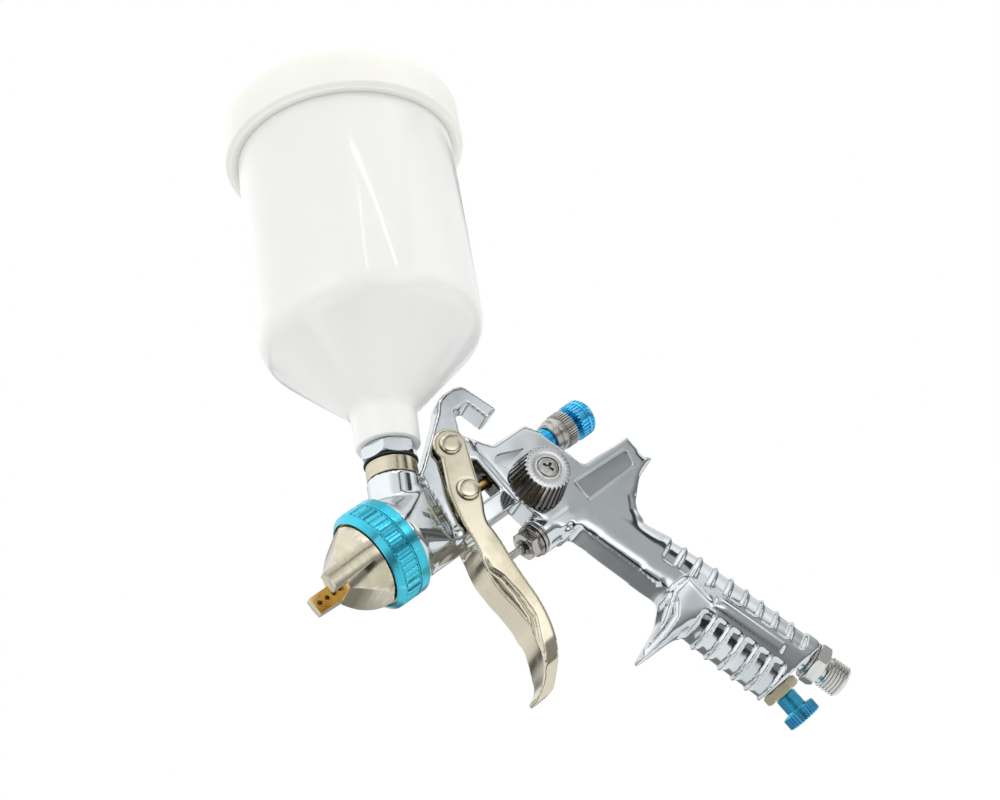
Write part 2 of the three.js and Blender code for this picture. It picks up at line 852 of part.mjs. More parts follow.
function addRing() {
  const knurlRearX = ringRearX - ringBandWidth;
  const knurlFrontX = knurlRearX - knurlWidth;
  const grooveRadius = ringRadius - ringGrooveDepth;
  const shell = turned([
    [ringFrontX, ringMouth],
    [ringFrontX, ringRadius - ringChamfer],
    [ringFrontX + ringChamfer / 2, ringRadius - ringChamfer / 4],
    [knurlFrontX - ringGrooveWidth, ringRadius],
    [knurlFrontX, grooveRadius],
    [knurlRearX, grooveRadius],
    [knurlRearX + ringGrooveWidth, ringRadius],
    [ringRearX, ringRadius],
    [ringRearX, ringBore],
    [ringFrontX + ringLip, ringBore],
    [ringFrontX + ringLip, ringMouth],
  ], alongSpray);
  const ribs = fluted(knurlFrontX, knurlRearX, ringRadius, knurlDepth, knurlRibs, alongSpray);
  const hollow = rod(knurlFrontX - overrun, knurlRearX + overrun, ringBore + overrun / 2, alongSpray);
  add('air_cap_ring', join(shell, cut(ribs, hollow)), turquoise);
}

function addAirCap() {
  const reach = capFlangeX - hornTipX;
  const horn = turned([
    [hornTipX, 0],
    [hornTipX, hornTipRadius],
    [hornTaperX, capRadius],
    [hornTaperX, 0],
  ], alongSpray);
  const web = plate([
    [hornTipX - overrun, -hornWidth / 2],
    [hornTaperX + overrun, -hornWidth / 2],
    [hornTaperX + overrun, hornWidth / 2],
    [hornTipX - overrun, hornWidth / 2],
  ], -ringBore, ringBore);
  const cone = turned([
    [capFaceX, 0],
    [capFaceX, capShoulderRadius],
    [(capFaceX + hornTaperX) / 2, (capShoulderRadius + capRadius) / 2 + edgeRound / 2],
    [hornTaperX, capRadius - edgeRound],
    [ringFrontX, capRadius],
    [capFlangeX, capRadius],
    [capFlangeX, ringBore - slip],
    [capRearX, ringBore - slip],
    [capRearX, 0],
  ], alongSpray);
  const side = flankShares.map(([along, across]) => [capFlangeX - along * reach, across * capRadius]);
  const flank = plate([
    ...side,
    [capRearX + overrun, ringBore + overrun],
    [capRearX + overrun, -ringBore - overrun],
    ...side.map(([x, z]) => [x, -z]).reverse(),
  ], -ringBore - overrun, ringBore + overrun);
  const between = plate([
    [hornTipX - overrun, -capRadius],
    [capFaceX, -capRadius],
    [capFaceX, capRadius],
    [hornTipX - overrun, capRadius],
  ], -hornInnerRadius, hornInnerRadius);
  const chamber = turned([
    [capFaceX + capWall, 0],
    [capFaceX + capWall, capFaceRadius - capWall],
    [hornTaperX, capRadius - 2 * capWall],
    [capRearX + overrun, capRadius - 2 * capWall],
    [capRearX + overrun, 0],
  ], alongSpray);
  const hornLength = capFaceX - hornTipX;
  const holes = hornHoleXShares.flatMap((share) => [-1, 1].map((side) => rod(
    hornInnerRadius - overrun,
    (hornInnerRadius + hornTipRadius) / 2,
    hornHoleRadius,
    laid('left', hornTipX + hornLength * share, 0, 0).multiply(new THREE.Matrix4().makeScale(1, side, side)),
  )));
  const groove = tube(
    ringFrontX + snapRingInset,
    ringFrontX + snapRingInset + snapRingWidth + gap,
    capRadius + overrun,
    capRadius - snapRingProud,
    alongSpray,
  );
  const hole = rod(hornTipX, capRearX, capHoleRadius, alongSpray);
  const solid = join(horn.intersect(web), cone.intersect(flank));
  add('air_cap', cut(solid, between, chamber, hole, groove, ...holes), nickel);
  const ringStart = ringFrontX + snapRingInset + gap / 2;
  add('cap_snap_ring', tube(
    ringStart,
    ringStart + snapRingWidth,
    ringMouth - slip,
    capRadius - snapRingProud + slip / 2,
    alongSpray,
  ), brass);
}

function addNozzle() {
  const baffleX = noseX - gap - baffleThickness;
  const hexX = baffleX - gap - nozzleHexLength;
  const throatX = nozzleTipX + nozzleThroatLength;
  const outer = turned([
    [nozzleTipX, 0],
    [nozzleTipX, nozzleTipRadius],
    [nozzleTipX + nozzleTipLength, nozzleTipRadius],
    [nozzleTipX + nozzleConeLength, nozzleBodyRadius],
    [hexX, nozzleBodyRadius],
    [hexX, nozzleThreadRadius],
    [nozzleThreadEndX, nozzleThreadRadius],
    [nozzleThreadEndX, 0],
  ], alongSpray);
  const bore = turned([
    [nozzleTipX - overrun, 0],
    [nozzleTipX - overrun, nozzleOrifice],
    [throatX, nozzleOrifice],
    [throatX + nozzleInnerConeLength, nozzleBore],
    [nozzleThreadEndX + overrun, nozzleBore],
    [nozzleThreadEndX + overrun, 0],
  ], alongSpray);
  const hex = hexagon(hexX, hexX + nozzleHexLength, nozzleHex, alongSpray);
  add('fluid_nozzle', cut(join(outer, hex), bore), brass);
  const holes = [];
  for (let i = 0; i < baffleHoles; i += 1) {
    const angle = (2 * Math.PI * i) / baffleHoles;
    const place = laid('x', 0, baffleHoleCircle * Math.cos(angle), baffleHoleCircle * Math.sin(angle));
    holes.push(rod(baffleX - overrun, noseX, baffleHoleRadius, place));
  }
  const disc = tube(baffleX, baffleX + baffleThickness, baffleRadius, nozzleThreadRadius + slip, alongSpray);
  add('air_baffle', cut(disc, ...holes), steel);
  const gasketX = nozzleThreadEndX + gap;
  const gasketEnd = gasketX + gasketThickness;
  add('nozzle_gasket', tube(gasketX, gasketEnd, nozzleThreadRadius, fluidBore, alongSpray), sealPlastic);
}

function addNeedle() {
  const tipX = nozzleTipX + needleTipGap;
  const profile = [
    [tipX, 0],
    [tipX, needleTipRadius],
    [tipX + nozzleThroatLength, needleTipRadius],
    [tipX + nozzleThroatLength + needleTaperLength, needleRadius],
    [needleFlangeX, needleRadius],
    [needleFlangeX, needleFlangeRadius],
    [needleFlangeX + needleFlangeLength, needleFlangeRadius],
    [needleFlangeX + needleFlangeLength, needleRadius],
    [needleEndX, needleRadius],
    [needleEndX, 0],
  ];
  add('fluid_needle', turned(profile, alongSpray), steel);
  const collarX = pullPinX + pullPinRadius + gap;
  add('needle_collar', turned([
    [collarX, needleRadius + slip],
    [collarX, collarDiscRadius],
    [collarX + collarDiscLength, collarDiscRadius],
    [collarX + collarDiscLength, collarStemRadius],
    [collarStemEndX, collarStemRadius],
    [collarStemEndX, needleRadius + slip],
  ], alongSpray), brass);
  const springX = needleFlangeX + needleFlangeLength + gap;
  const springEnd = stemBoreEndX - gap;
  add('needle_spring', coil(
    springX,
    springEnd,
    needleSpringRadius,
    needleSpringWire,
    needleSpringCurls,
    alongSpray,
  ), steel);
}

function addPacking() {
  const sealX = fluidBoreEndX + overrun + gap;
  const sealEnd = sealX + packingSealLength;
  const seal = tube(sealX, sealEnd, packingBore - slip, needleRadius + slip, alongSpray);
  add('packing_seal', seal, sealPlastic);
  const hexX = packingSeatX + gap;
  const nut = join(
    rod(sealEnd + gap, hexX + overrun, packingNutRadius, alongSpray),
    hexagon(hexX, hexX + packingNutHexLength, packingNutHex, alongSpray),
  );
  const bore = rod(sealEnd, hexX + packingNutHexLength + overrun, needleRadius + slip, alongSpray);
  add('packing_nut', cut(nut, bore), brass);
}

// Cup, nut, strainer and lid

function addCupSocket() {
  add('cup_collar', tube(socketTop + gap, collarTop, collarRadius, socketBore, alongCup), nickel);
  add('cup_seal', tube(sealFoot, sealFoot + sealThickness, sealRadius, socketBore, alongCup), rubber);
  const spigotTop = cupNutTop + cupNutSpigotLength;
  const turnedAboutCup = alongCup.clone().multiply(new THREE.Matrix4().makeRotationZ(cupNutTurn));
  const nut = join(
    hexagon(cupNutFoot, cupNutTop, cupNutHex, turnedAboutCup),
    rod(socketTop - cupNutThreadDepth + overrun, cupNutFoot + overrun, cupNutThreadRadius, alongCup),
    rod(cupNutTop - overrun, spigotTop, cupNutSpigotRadius, alongCup),
  );
  add('cup_nut', cut(nut, rod(0, spigotTop + overrun, cupNutBore, alongCup)), chrome);
  const filterTop = spigotTop + gap + filterFlangeThickness;
  const filterFoot = filterTop - filterLength;
  add('cup_filter', turned([
    [filterFoot, 0],
    [filterFoot, filterTubeRadius - filterWall],
    [spigotTop + gap, filterTubeRadius],
    [spigotTop + gap, filterFlange],
    [filterTop, filterFlange],
    [filterTop, filterTubeRadius - filterWall],
    [filterFoot + filterWall, filterTubeRadius - 2 * filterWall],
    [filterFoot + filterWall, 0],
  ], alongCup), sealPlastic);
}

function addCup() {
  const neckFoot = cupNutTop + gap;
  const neckBore = cupNutSpigotRadius + gap;
  const slope = (cupRadius - neckRadius) / (coneTop - neckTop);
  const round = coneRounding / Math.hypot(1, slope);
  const profile = [
    [neckFoot, neckBore],
    [neckFoot, neckFootRadius],
    [neckTop, neckRadius],
    [coneTop - round, cupRadius - round * slope],
    [coneTop, cupRadius - coneRounding / 4],
    [coneTop + coneRounding, cupRadius],
  ];
  cupBeadDrops.forEach((drop) => profile.push(
    [cupTop - drop, cupRimRadius - cupBead / 2],
    [cupTop - drop + cupBeadWidth / 2, cupRimRadius + cupBead],
    [cupTop - drop + cupBeadWidth, cupRimRadius - cupBead / 2],
  ));
  profile.push(
    [cupTop, cupRimRadius],
    [cupTop, cupRimRadius - cupWall],
    [coneTop + coneRounding, cupRadius - cupWall],
    [coneTop, cupRadius - coneRounding / 4 - cupWall],
    [coneTop - round, cupRadius - round * slope - 1.5 * cupWall],
    [neckTop + cupWall, neckBore],
  );
  add('cup', turned(profile, alongCup), cupPlastic);
}

function addLid() {
  const lid = turned([
    [lidFoot, lidInnerRadius],
    [lidFoot, lidFootRadius],
    [lidStep - overrun / 2, lidFootRadius],
    [lidStep, lidRadius],
    [lidTop - lidRounding, lidRadius],
    [lidTop - lidRounding / 4, lidRadius - lidRounding / 4],
    [lidTop, lidRadius - lidRounding],
    [lidTop, ventHoleRadius],
    [lidTop - lidWall, ventHoleRadius],
    [lidTop - lidWall, lidInnerRadius],
  ], alongCup);
  add('lid', lid, lidPlastic);
  const gasketFoot = cupTop + gap;
  add('lid_gasket', tube(
    gasketFoot,
    gasketFoot + lidGasketThickness,
    lidInnerRadius - gap,
    lidInnerRadius - lidGasketWidth,
    alongCup,
  ), rubber);
  add('lid_vent_plug', turned([
    [lidTop - ventPlugLength, 0],
    [lidTop - ventPlugLength, ventHoleRadius - slip],
    [lidTop + gap, ventHoleRadius - slip],
    [lidTop + gap, ventPlugRadius],
    [lidTop + gap + ventPlugHead, ventPlugRadius - ventPlugHead / 2],
    [lidTop + gap + ventPlugHead, 0],
  ], alongCup), sealPlastic);
}

// Trigger and its pins

function addTrigger() {
  const tipSpan = triggerWebTopZ - triggerTipZ;
  const reach = triggerWebX - triggerTipX;
  const station = ([u, v]) => [triggerWebX - u * reach, triggerWebTopZ - v * tipSpan];
  const front = triggerFrontShares.map(station);
  const rear = triggerRearShares.map(station);
  const tip = [[triggerTipX, triggerTipZ + triggerSheet], [triggerTipX, triggerTipZ]];
  const lowRear = [[triggerTipX + triggerTipHalf * 2, triggerTipZ], ...rear.reverse()];
  const upperRear = [
    [pullPinX - pullPinRadius + edgeRound, (triggerWebTopZ + beamLowZ) / 2 + hookRound],
    [pullPinX + pullPinRadius, -pullPinRadius - hookRound / 2],
    [pivotX + hookRound / 2, hookRound * 2],
  ];
  const upperFront = [
    [pullPinX - pullPinRadius - hookRound - edgeRound, hookRound],
    [triggerWebX + hookRound / 2, (beamZ + windowLowZ) / 2],
  ];
  const arc = [];
  for (let i = 0; i <= arcSteps; i += 1) {
    const angle = 2 * Math.PI * (headArcStartShare + (headArcShare * i) / arcSteps);
    arc.push([pivotX + triggerHead * Math.cos(angle), pivotZ + triggerHead * Math.sin(angle)]);
  }
  const full = [...front, ...tip, ...lowRear, ...upperRear, ...arc, ...upperFront];
  const blank = plate(full, -triggerHalf, triggerHalf);
  const backX = pivotX + triggerHead + overrun;
  const inner = front.map(([x, z]) => [x + triggerSheet, z]);
  const hollow = plate([
    [inner[0][0], pivotZ + triggerHead + overrun],
    ...inner,
    [backX, inner.at(-1)[1]],
    [backX, pivotZ + triggerHead + overrun],
  ], triggerSheet - triggerHalf, triggerHalf - triggerSheet);
  const throat = plate([
    [triggerTipX, triggerWebTopZ],
    [backX, triggerWebTopZ],
    [backX, pivotZ + triggerHead + overrun],
    [triggerTipX, pivotZ + triggerHead + overrun],
  ], triggerSheet - triggerHalf, triggerHalf - triggerSheet);
  const [firstShare, midShare, lastShare] = triggerTipTaperShares;
  const corners = [[-1, -1], [1, -1], [1, 1], [-1, 1]];
  const funnel = (sheet) => loft([
    [triggerTipZ - overrun, triggerTipHalf - overrun / 2],
    [triggerTipZ + tipSpan * firstShare, triggerTipHalf + overrun],
    [triggerTipZ + tipSpan * midShare, triggerHalf - overrun],
    [triggerTipZ + tipSpan * lastShare, triggerHalf],
    [pivotZ + triggerHead + 2 * overrun, triggerHalf],
  ].map(([z, half]) => corners.map(([u, v]) => new THREE.Vector3(
    (triggerTipX + pivotX) / 2 + u * pivotX,
    v * (half - sheet),
    z,
  ))), corners.map(([u, v]) => new THREE.Vector2(u, v)));
  const holes = [
    rod(-triggerHalf - overrun, triggerHalf + overrun, pinRadius + slip, laid('left', pivotX, 0, pivotZ)),
    rod(-triggerHalf - overrun, triggerHalf + overrun, pullPinRadius + slip, laid('left', pullPinX, 0, 0)),
  ];
  const inside = join(hollow, throat).intersect(funnel(triggerSheet));
  add('trigger', cut(blank.intersect(funnel(0)), inside, ...holes), nickelTrigger);
}

function addPins() {
  const headY = triggerHalf + gap;
  const pivot = laid('left', pivotX, 0, pivotZ);
  const screwLength = triggerHalf;
  add('trigger_pivot_pin', cut(
    join(
      rod(-triggerHalf, headY + edgeRound, pinRadius, pivot),
      turned([
        [headY, 0],
        [headY, pinHeadRadius],
        [headY + pinHeadThickness, pinHeadRadius - edgeRound / 2],
        [headY + pinHeadThickness, 0],
      ], pivot),
    ),
    rod(-triggerHalf - overrun, 0, pinRadius / 2 + slip, pivot),
  ), nickelTrigger);
  add('trigger_pivot_screw', join(
    rod(-headY - overrun / 2, -headY + screwLength, pinRadius / 2, pivot),
    turned([
      [-headY - pinHeadThickness, 0],
      [-headY - pinHeadThickness, pinHeadRadius - edgeRound / 2],
      [-headY, pinHeadRadius],
      [-headY, 0],
    ], pivot),
  ), nickelTrigger);
  const pull = laid('left', pullPinX, 0, 0);
  const notch = plate([
    [pullPinX - pullPinRadius - overrun, -pullNotchFloor],
    [pullPinX + pullPinRadius + overrun, -pullNotchFloor],
    [pullPinX + pullPinRadius + overrun, pullPinRadius + overrun],
    [pullPinX - pullPinRadius - overrun, pullPinRadius + overrun],
  ], -pullNotchHalf, pullNotchHalf);
  const heads = [-1, 1].map((side) => turned([
    [headY, 0],
    [headY, pinHeadRadius],
    [headY + pinHeadThickness, pinHeadRadius - edgeRound / 2],
    [headY + pinHeadThickness, 0],
  ], pull.clone().multiply(new THREE.Matrix4().makeScale(1, side, side))));
  const shaft = rod(-headY - edgeRound / 2, headY + edgeRound / 2, pullPinRadius, pull);
  add('needle_pull_pin', cut(join(shaft, ...heads), notch), nickelTrigger);
}

// Air valve under the trigger pin

function addAirValve() {
  const washerX = valveBossX - gap - valveWasherThickness;
  const flangeX = washerX - gap - valveNutFlangeLength;
  const sealX = valveThreadEndX - rodSealLength - gap;
  const nut = join(
    hexagon(valveNutX, flangeX + overrun / 2, valveNutHex, alongValve),
    rod(flangeX, flangeX + valveNutFlangeLength, valveNutFlangeRadius, alongValve),
    rod(flangeX, sealX - gap, valveThreadRadius, alongValve),
  );
  add('air_valve_nut', cut(nut, rod(valveNutX - overrun, sealX, rodRadius + slip, alongValve)), darkSteel);
  add('valve_washer', tube(
    washerX,
    washerX + valveWasherThickness,
    valveWasherRadius,
    valveThreadRadius + slip,
    alongValve,
  ), steel);
  const chamberFit = valveChamberRadius - slip;
  const rodSeal = tube(sealX, sealX + rodSealLength, chamberFit, rodRadius + slip, alongValve);
  add('valve_rod_seal', rodSeal, sealPlastic);
  const seatX = valveThreadEndX + gap;
  const seatEnd = seatX + valveSeatLength;
  add('air_valve_seat', tube(seatX, seatEnd, chamberFit, valveSeatBore, alongValve), brass);
  const headX = seatEnd + gap;
  add('air_valve_rod', turned([
    [rodTipX, 0],
    [rodTipX, rodRadius / 2],
    [rodTipX + rodRadius / 2, rodRadius],
    [headX, rodRadius],
    [headX, valveHeadRadius],
    [headX + valveHeadLength, valveHeadRadius],
    [headX + valveHeadLength, 0],
  ], alongValve), steel);
  add('air_valve_spring', coil(
    headX + valveHeadLength + gap,
    valveChamberEndX - gap,
    valveSpringRadius,
    valveSpringWire,
    valveSpringCurls,
    alongValve,
  ), steel);
}

// Fan control

function addFanControl() {
  const knobFoot = rearHalf + fanKnobGap;
  const knobTop = knobFoot + fanKnobLength;
  const recessFloor = knobTop - fanScrewHead;
  const bushFoot = rearHalf - fanBushLength;
  add('fan_bushing', tube(bushFoot, rearHalf, fanBushRadius, fanSpindleRadius + slip, alongFan), brass);
  const spindleTop = recessFloor - overrun;
  add('fan_spindle', cut(
    rod(rearHalf - fanBoreDepth + gap, spindleTop, fanSpindleRadius, alongFan),
    rod(spindleTop - fanScrewShankLength - gap, knobTop, fanScrewShank + slip / 2, alongFan),
  ), steel);
  const ringFoot = rearHalf + gap / 2;
  const ringTop = ringFoot + fanRingThickness;
  const ringHole = fanSpindleRadius + slip;
  add('fan_o_ring', tube(ringFoot, ringTop, fanBushRadius - gap, ringHole, alongFan), rubber);
  const body = fluted(
    knobFoot,
    knobTop - edgeRound / 2,
    fanKnobBaseRadius,
    fanFluteDepth,
    fanKnobFlutes,
    alongFan,
    fanKnobFaceRadius,
  );
  const face = rod(knobTop - edgeRound, knobTop, fanKnobFaceRadius - fanFluteDepth, alongFan);
  add('fan_knob', cut(
    join(body, face),
    rod(knobFoot - overrun, knobFoot + fanKnobRecess, fanKnobBaseRadius - 2 * capWall, alongFan),
    rod(knobFoot, spindleTop + gap, fanSpindleRadius + slip, alongFan),
    rod(knobFoot, knobTop + overrun, fanScrewShank + slip, alongFan),
    rod(recessFloor, knobTop + overrun, fanScrewRadius + slip, alongFan),
  ), darkSteel);
  const slotHalf = fanScrewShank / 3;
  const cross = [[fanScrewShank, slotHalf], [slotHalf, fanScrewShank]].map(([wide, tall]) => toSolid(
    new THREE.BoxGeometry(2 * wide, 2 * tall, fanScrewHead)
      .translate(0, 0, knobTop)
      .applyMatrix4(alongFan),
  ));
  add('fan_knob_screw', cut(join(
    rod(recessFloor + gap, knobTop, fanScrewRadius, alongFan),
    rod(spindleTop - fanScrewShankLength + gap, recessFloor + overrun / 2, fanScrewShank, alongFan),
  ), ...cross), steel);
}

// Fluid control

function addFluidControl() {
  const nutEnd = lockNutX + lockNutLength;
  const stem = rod(stemStartX, nutEnd, stemRadius, alongSpray);
  const undercut = rod(nutEnd - overrun, knobX + overrun, stemUndercut, alongSpray);
  const rimX = knobX + knobLength - knobRounding;
  const knob = fluted(knobX, rimX, knobRadius, knobFluteDepth, knobFlutes, alongSpray);
  const dome = turned([
    [rimX - overrun, 0],
    [rimX - overrun, knobRadius - knobFluteDepth],
    [rimX, knobRadius - knobFluteDepth],
    [knobX + knobLength, knobRadius - knobRounding],
    [knobX + knobLength, 0],
  ], alongSpray);
  add('fluid_knob', cut(
    join(stem, undercut, knob, dome),
    rod(stemStartX - overrun, stemBoreEndX, stemBore, alongSpray),
  ), blue);
  const nut = turned([
    [lockNutX, stemRadius + slip],
    [lockNutX, lockNutNoseRadius - edgeRound / 2],
    [lockNutX + edgeRound, lockNutNoseRadius],
    [lockNutX + lockNutNoseLength, lockNutNoseRadius],
    [lockNutX + lockNutNoseLength + edgeRound, lockNutRadius - edgeRound / 2],
    [lockNutGrooveX, lockNutRadius - edgeRound / 2],
    [lockNutGrooveX, lockNutRadius - edgeRound],
    [lockNutGrooveX + edgeRound, lockNutRadius - edgeRound],
    [nutEnd, lockNutRadius - knobFluteDepth],
    [nutEnd, stemRadius + slip],
  ], alongSpray);
  const ribs = cut(
    fluted(lockNutGrooveX + edgeRound, nutEnd, lockNutRadius, knobFluteDepth, knobFlutes, alongSpray),
    rod(lockNutX, nutEnd + overrun, (stemRadius + lockNutRadius) / 2, alongSpray),
  );
  add('fluid_lock_nut', join(nut, ribs), nickel);
}

// Handle end: air control and inlet

function addAirControl() {
  const nutTop = gap;
  const nutEnd = nutTop + controlHexLength;
  const bush = join(
    hexagon(nutTop, nutEnd, controlHex, alongControl),
    rod(-controlShankLength, nutTop + overrun, controlShankRadius, alongControl),
  );
  add('air_control_bushing', cut(
    bush,
    rod(-controlShankLength - overrun, nutEnd + overrun, controlSpindleRadius + slip, alongControl),
  ), nickel);
  const ringTop = -controlShankLength - gap - controlRingThickness;
  add('air_control_o_ring', tube(
    ringTop,
    ringTop + controlRingThickness,
    controlShankRadius,
    controlSpindleRadius + slip,
    alongControl,
  ), rubber);
  const stemTop = nutEnd + gap;
  const discTop = stemTop + controlStemLength;
  const discEnd = discTop + controlDiscLength;
  const disc = fluted(discTop, discEnd, controlDiscRadius, knobFluteDepth, controlKnurlRibs, alongControl);
  add('air_control_knob', join(
    rod(gripEndZ - controlSpindleTopZ, stemTop + overrun, controlSpindleRadius, alongControl),
    rod(stemTop, discTop + overrun, controlStemRadius, alongControl),
    disc,
  ), blue);
}

function addInlet() {
  const seat = gap;
  const washerEnd = seat + inletWasherThickness;
  const hexFoot = washerEnd + gap;
  const hexEnd = hexFoot + inletHexLength;
  const neckEnd = hexEnd + inletNeckLength;
  const end = neckEnd + inletThreadLength;
  const shank = seat - inletShankLength;
  add('inlet_washer', tube(seat, washerEnd, inletWasherRadius, inletShankRadius + slip, alongInlet), steel);
  const solid = join(
    rod(shank, hexFoot + overrun, inletShankRadius, alongInlet),
    hexagon(hexFoot, hexEnd, inletHex, alongInlet),
    rod(hexEnd - overrun, neckEnd + overrun, inletNeckRadius, alongInlet),
    rod(neckEnd, end, inletThreadRadius, alongInlet),
  );
  add('air_inlet_nipple', cut(solid, rod(shank - overrun, end + overrun, inletBore, alongInlet)), nickel);
}

addBody();
addRing();
addAirCap();
addNozzle();
addNeedle();
addPacking();
addCupSocket();
addCup();
addLid();
addTrigger();
addPins();
addAirValve();
addFanControl();
addFluidControl();
addAirControl();
addInlet();

// The hook's seat becomes the origin
gun.position.set(-(hookSlotFrontX + hookSlotRearX) / 2, 0, -hookSeatZ);

export default gun;
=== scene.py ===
import json
import math
import bmesh
import bpy
from mathutils import Matrix, Vector


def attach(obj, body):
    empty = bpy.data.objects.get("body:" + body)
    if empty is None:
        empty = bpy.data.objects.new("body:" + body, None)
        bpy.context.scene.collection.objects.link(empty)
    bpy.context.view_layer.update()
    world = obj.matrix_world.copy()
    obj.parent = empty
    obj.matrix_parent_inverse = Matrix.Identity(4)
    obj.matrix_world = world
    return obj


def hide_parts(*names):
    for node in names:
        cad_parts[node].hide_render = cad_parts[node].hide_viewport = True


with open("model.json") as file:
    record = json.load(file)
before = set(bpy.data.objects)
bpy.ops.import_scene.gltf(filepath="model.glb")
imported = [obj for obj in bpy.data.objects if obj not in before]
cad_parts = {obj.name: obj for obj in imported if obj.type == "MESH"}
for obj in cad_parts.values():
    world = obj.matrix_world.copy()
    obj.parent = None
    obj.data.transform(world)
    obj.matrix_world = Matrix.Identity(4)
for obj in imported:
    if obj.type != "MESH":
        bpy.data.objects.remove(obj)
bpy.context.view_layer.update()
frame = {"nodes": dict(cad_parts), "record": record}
nodes = frame["nodes"]
mm = 0.001
hookSeat = Vector((60.9, 0, 29.7))  # the frame's origin, in the lengths used below
cupLean = math.radians(32.6)
handleLean = math.radians(16.8)
print("frame loaded:", len(nodes), "nodes")


def spot(x, y, z):
    return (Vector((x, y, z)) - hookSeat) * mm


def newGroup(name, inputs, outputs):
    group = bpy.data.node_groups.new(name, "ShaderNodeTree")
    group.interface.new_socket(name="Vector", in_out="INPUT", socket_type="NodeSocketVector")
    for label, value in inputs.items():
        socket = group.interface.new_socket(name=label, in_out="INPUT", socket_type="NodeSocketFloat")
        socket.default_value = value
    for label in outputs:
        group.interface.new_socket(name=label, in_out="OUTPUT", socket_type="NodeSocketFloat")
    return group, group.nodes.new("NodeGroupInput").outputs, group.nodes.new("NodeGroupOutput").inputs


def addNode(tree, kind, **values):
    node = tree.nodes.new(kind)
    for key, value in values.items():
        setattr(node, key, value)
    return node


# the values below are numbers or sockets
def calc(tree, operation, first, second=0.0):
    node = addNode(tree, "ShaderNodeMath", operation=operation)
    for socket, value in zip(node.inputs, (first, second)):
        if isinstance(value, (int, float)):
            socket.default_value = value
        else:
            tree.links.new(value, socket)
    return node.outputs[0]


def times(tree, first, second):
    return calc(tree, "MULTIPLY", first, second)


def plus(tree, first, second):
    return calc(tree, "ADD", first, second)


def ranged(tree, value, low, high):
    node = addNode(tree, "ShaderNodeMapRange", clamp=True, interpolation_type="SMOOTHSTEP")
    tree.links.new(value, node.inputs["Value"])
    node.inputs["From Min"].default_value = low
    node.inputs["From Max"].default_value = high
    return node.outputs["Result"]


def noiseOf(tree, vector, scale, detail=4.0, dimensions="3D"):
    node = addNode(tree, "ShaderNodeTexNoise", noise_dimensions=dimensions)
    node.inputs["Detail"].default_value = detail
    if isinstance(scale, (int, float)):
        node.inputs["Scale"].default_value = scale
    else:
        tree.links.new(scale, node.inputs["Scale"])
    tree.links.new(vector, node.inputs["W" if dimensions == "1D" else "Vector"])
    return node.outputs[0]


def objectPlace(tree):
    return addNode(tree, "ShaderNodeTexCoord").outputs["Object"]


def separated(tree, vector):
    apart = addNode(tree, "ShaderNodeSeparateXYZ")
    tree.links.new(vector, apart.inputs[0])
    return apart.outputs


# handling marks: smudges, fine scratches, rubbed edges that also carry a painted highlight, and crevices that hold dirt
# and painted shade, as masks from 0 to 1
handled, given, made = newGroup("handledSurface", {"Smudge Scale": 60.0, "Scratch Scale": 300.0},
                                ("Smudge", "Scratch", "Edge", "Crevice", "Grain"))
cloud = noiseOf(handled, given["Vector"], given["Smudge Scale"], 6.0)
stretch = addNode(handled, "ShaderNodeMapping")
stretch.inputs["Scale"].default_value = (1.0, 6.0, 18.0)
stretch.inputs["Rotation"].default_value = (0.5, 0.9, 0.2)
handled.links.new(given["Vector"], stretch.inputs["Vector"])
hairs = noiseOf(handled, stretch.outputs["Vector"], given["Scratch Scale"], 2.0)
pointed = addNode(handled, "ShaderNodeNewGeometry").outputs["Pointiness"]
# Crevice: hollows, darkened as dirt and as painted shade
# Edge: sharp edges, lightened as rubbed wear and as a painted highlight
for label, value, low, high in (("Smudge", cloud, 0.42, 0.66), ("Scratch", hairs, 0.62, 0.7),
                                ("Edge", pointed, 0.53, 0.6), ("Crevice", pointed, 0.48, 0.42)):
    handled.links.new(ranged(handled, value, low, high), made[label])
handled.links.new(noiseOf(handled, given["Vector"], 2600.0, 3.0), made["Grain"])

# rings left by the lathe, read along the z of the mapped vector
lathe, given, made = newGroup("latheMarks", {"Pitch": 3000.0}, ("Height", "Shade"))
along = times(lathe, separated(lathe, given["Vector"])["Z"], given["Pitch"])
lathe.links.new(noiseOf(lathe, along, 1.0, 2.0, "1D"), made["Height"])
wide = noiseOf(lathe, times(lathe, along, 0.17), 1.0, 1.0, "1D")
lathe.links.new(ranged(lathe, wide, 0.35, 0.65), made["Shade"])


def placeGroup(tree, group, vector, **values):
    node = addNode(tree, "ShaderNodeGroup", node_tree=group)
    tree.links.new(vector, node.inputs["Vector"])
    for label, value in values.items():
        node.inputs[label.replace("_", " ")].default_value = value
    return node.outputs


def newMaterial(name):
    material = bpy.data.materials.new(name)
    material.use_nodes = True
    return material, material.node_tree, material.node_tree.nodes["Principled BSDF"]


def mixColours(tree, share, first, second):
    node = addNode(tree, "ShaderNodeMix", data_type="RGBA")
    tree.links.new(share, node.inputs[0])
    for socket, value in ((node.inputs[6], first), (node.inputs[7], second)):
        if isinstance(value, tuple):
            socket.default_value = (*value, 1.0)
        else:
            tree.links.new(value, socket)
    return node.outputs[2]


def linear(hexCode):
    parts = [int(hexCode[i:i + 2], 16) / 255 for i in (0, 2, 4)]
    return tuple(c / 12.92 if c <= 0.04045 else ((c + 0.055) / 1.055) ** 2.4 for c in parts)
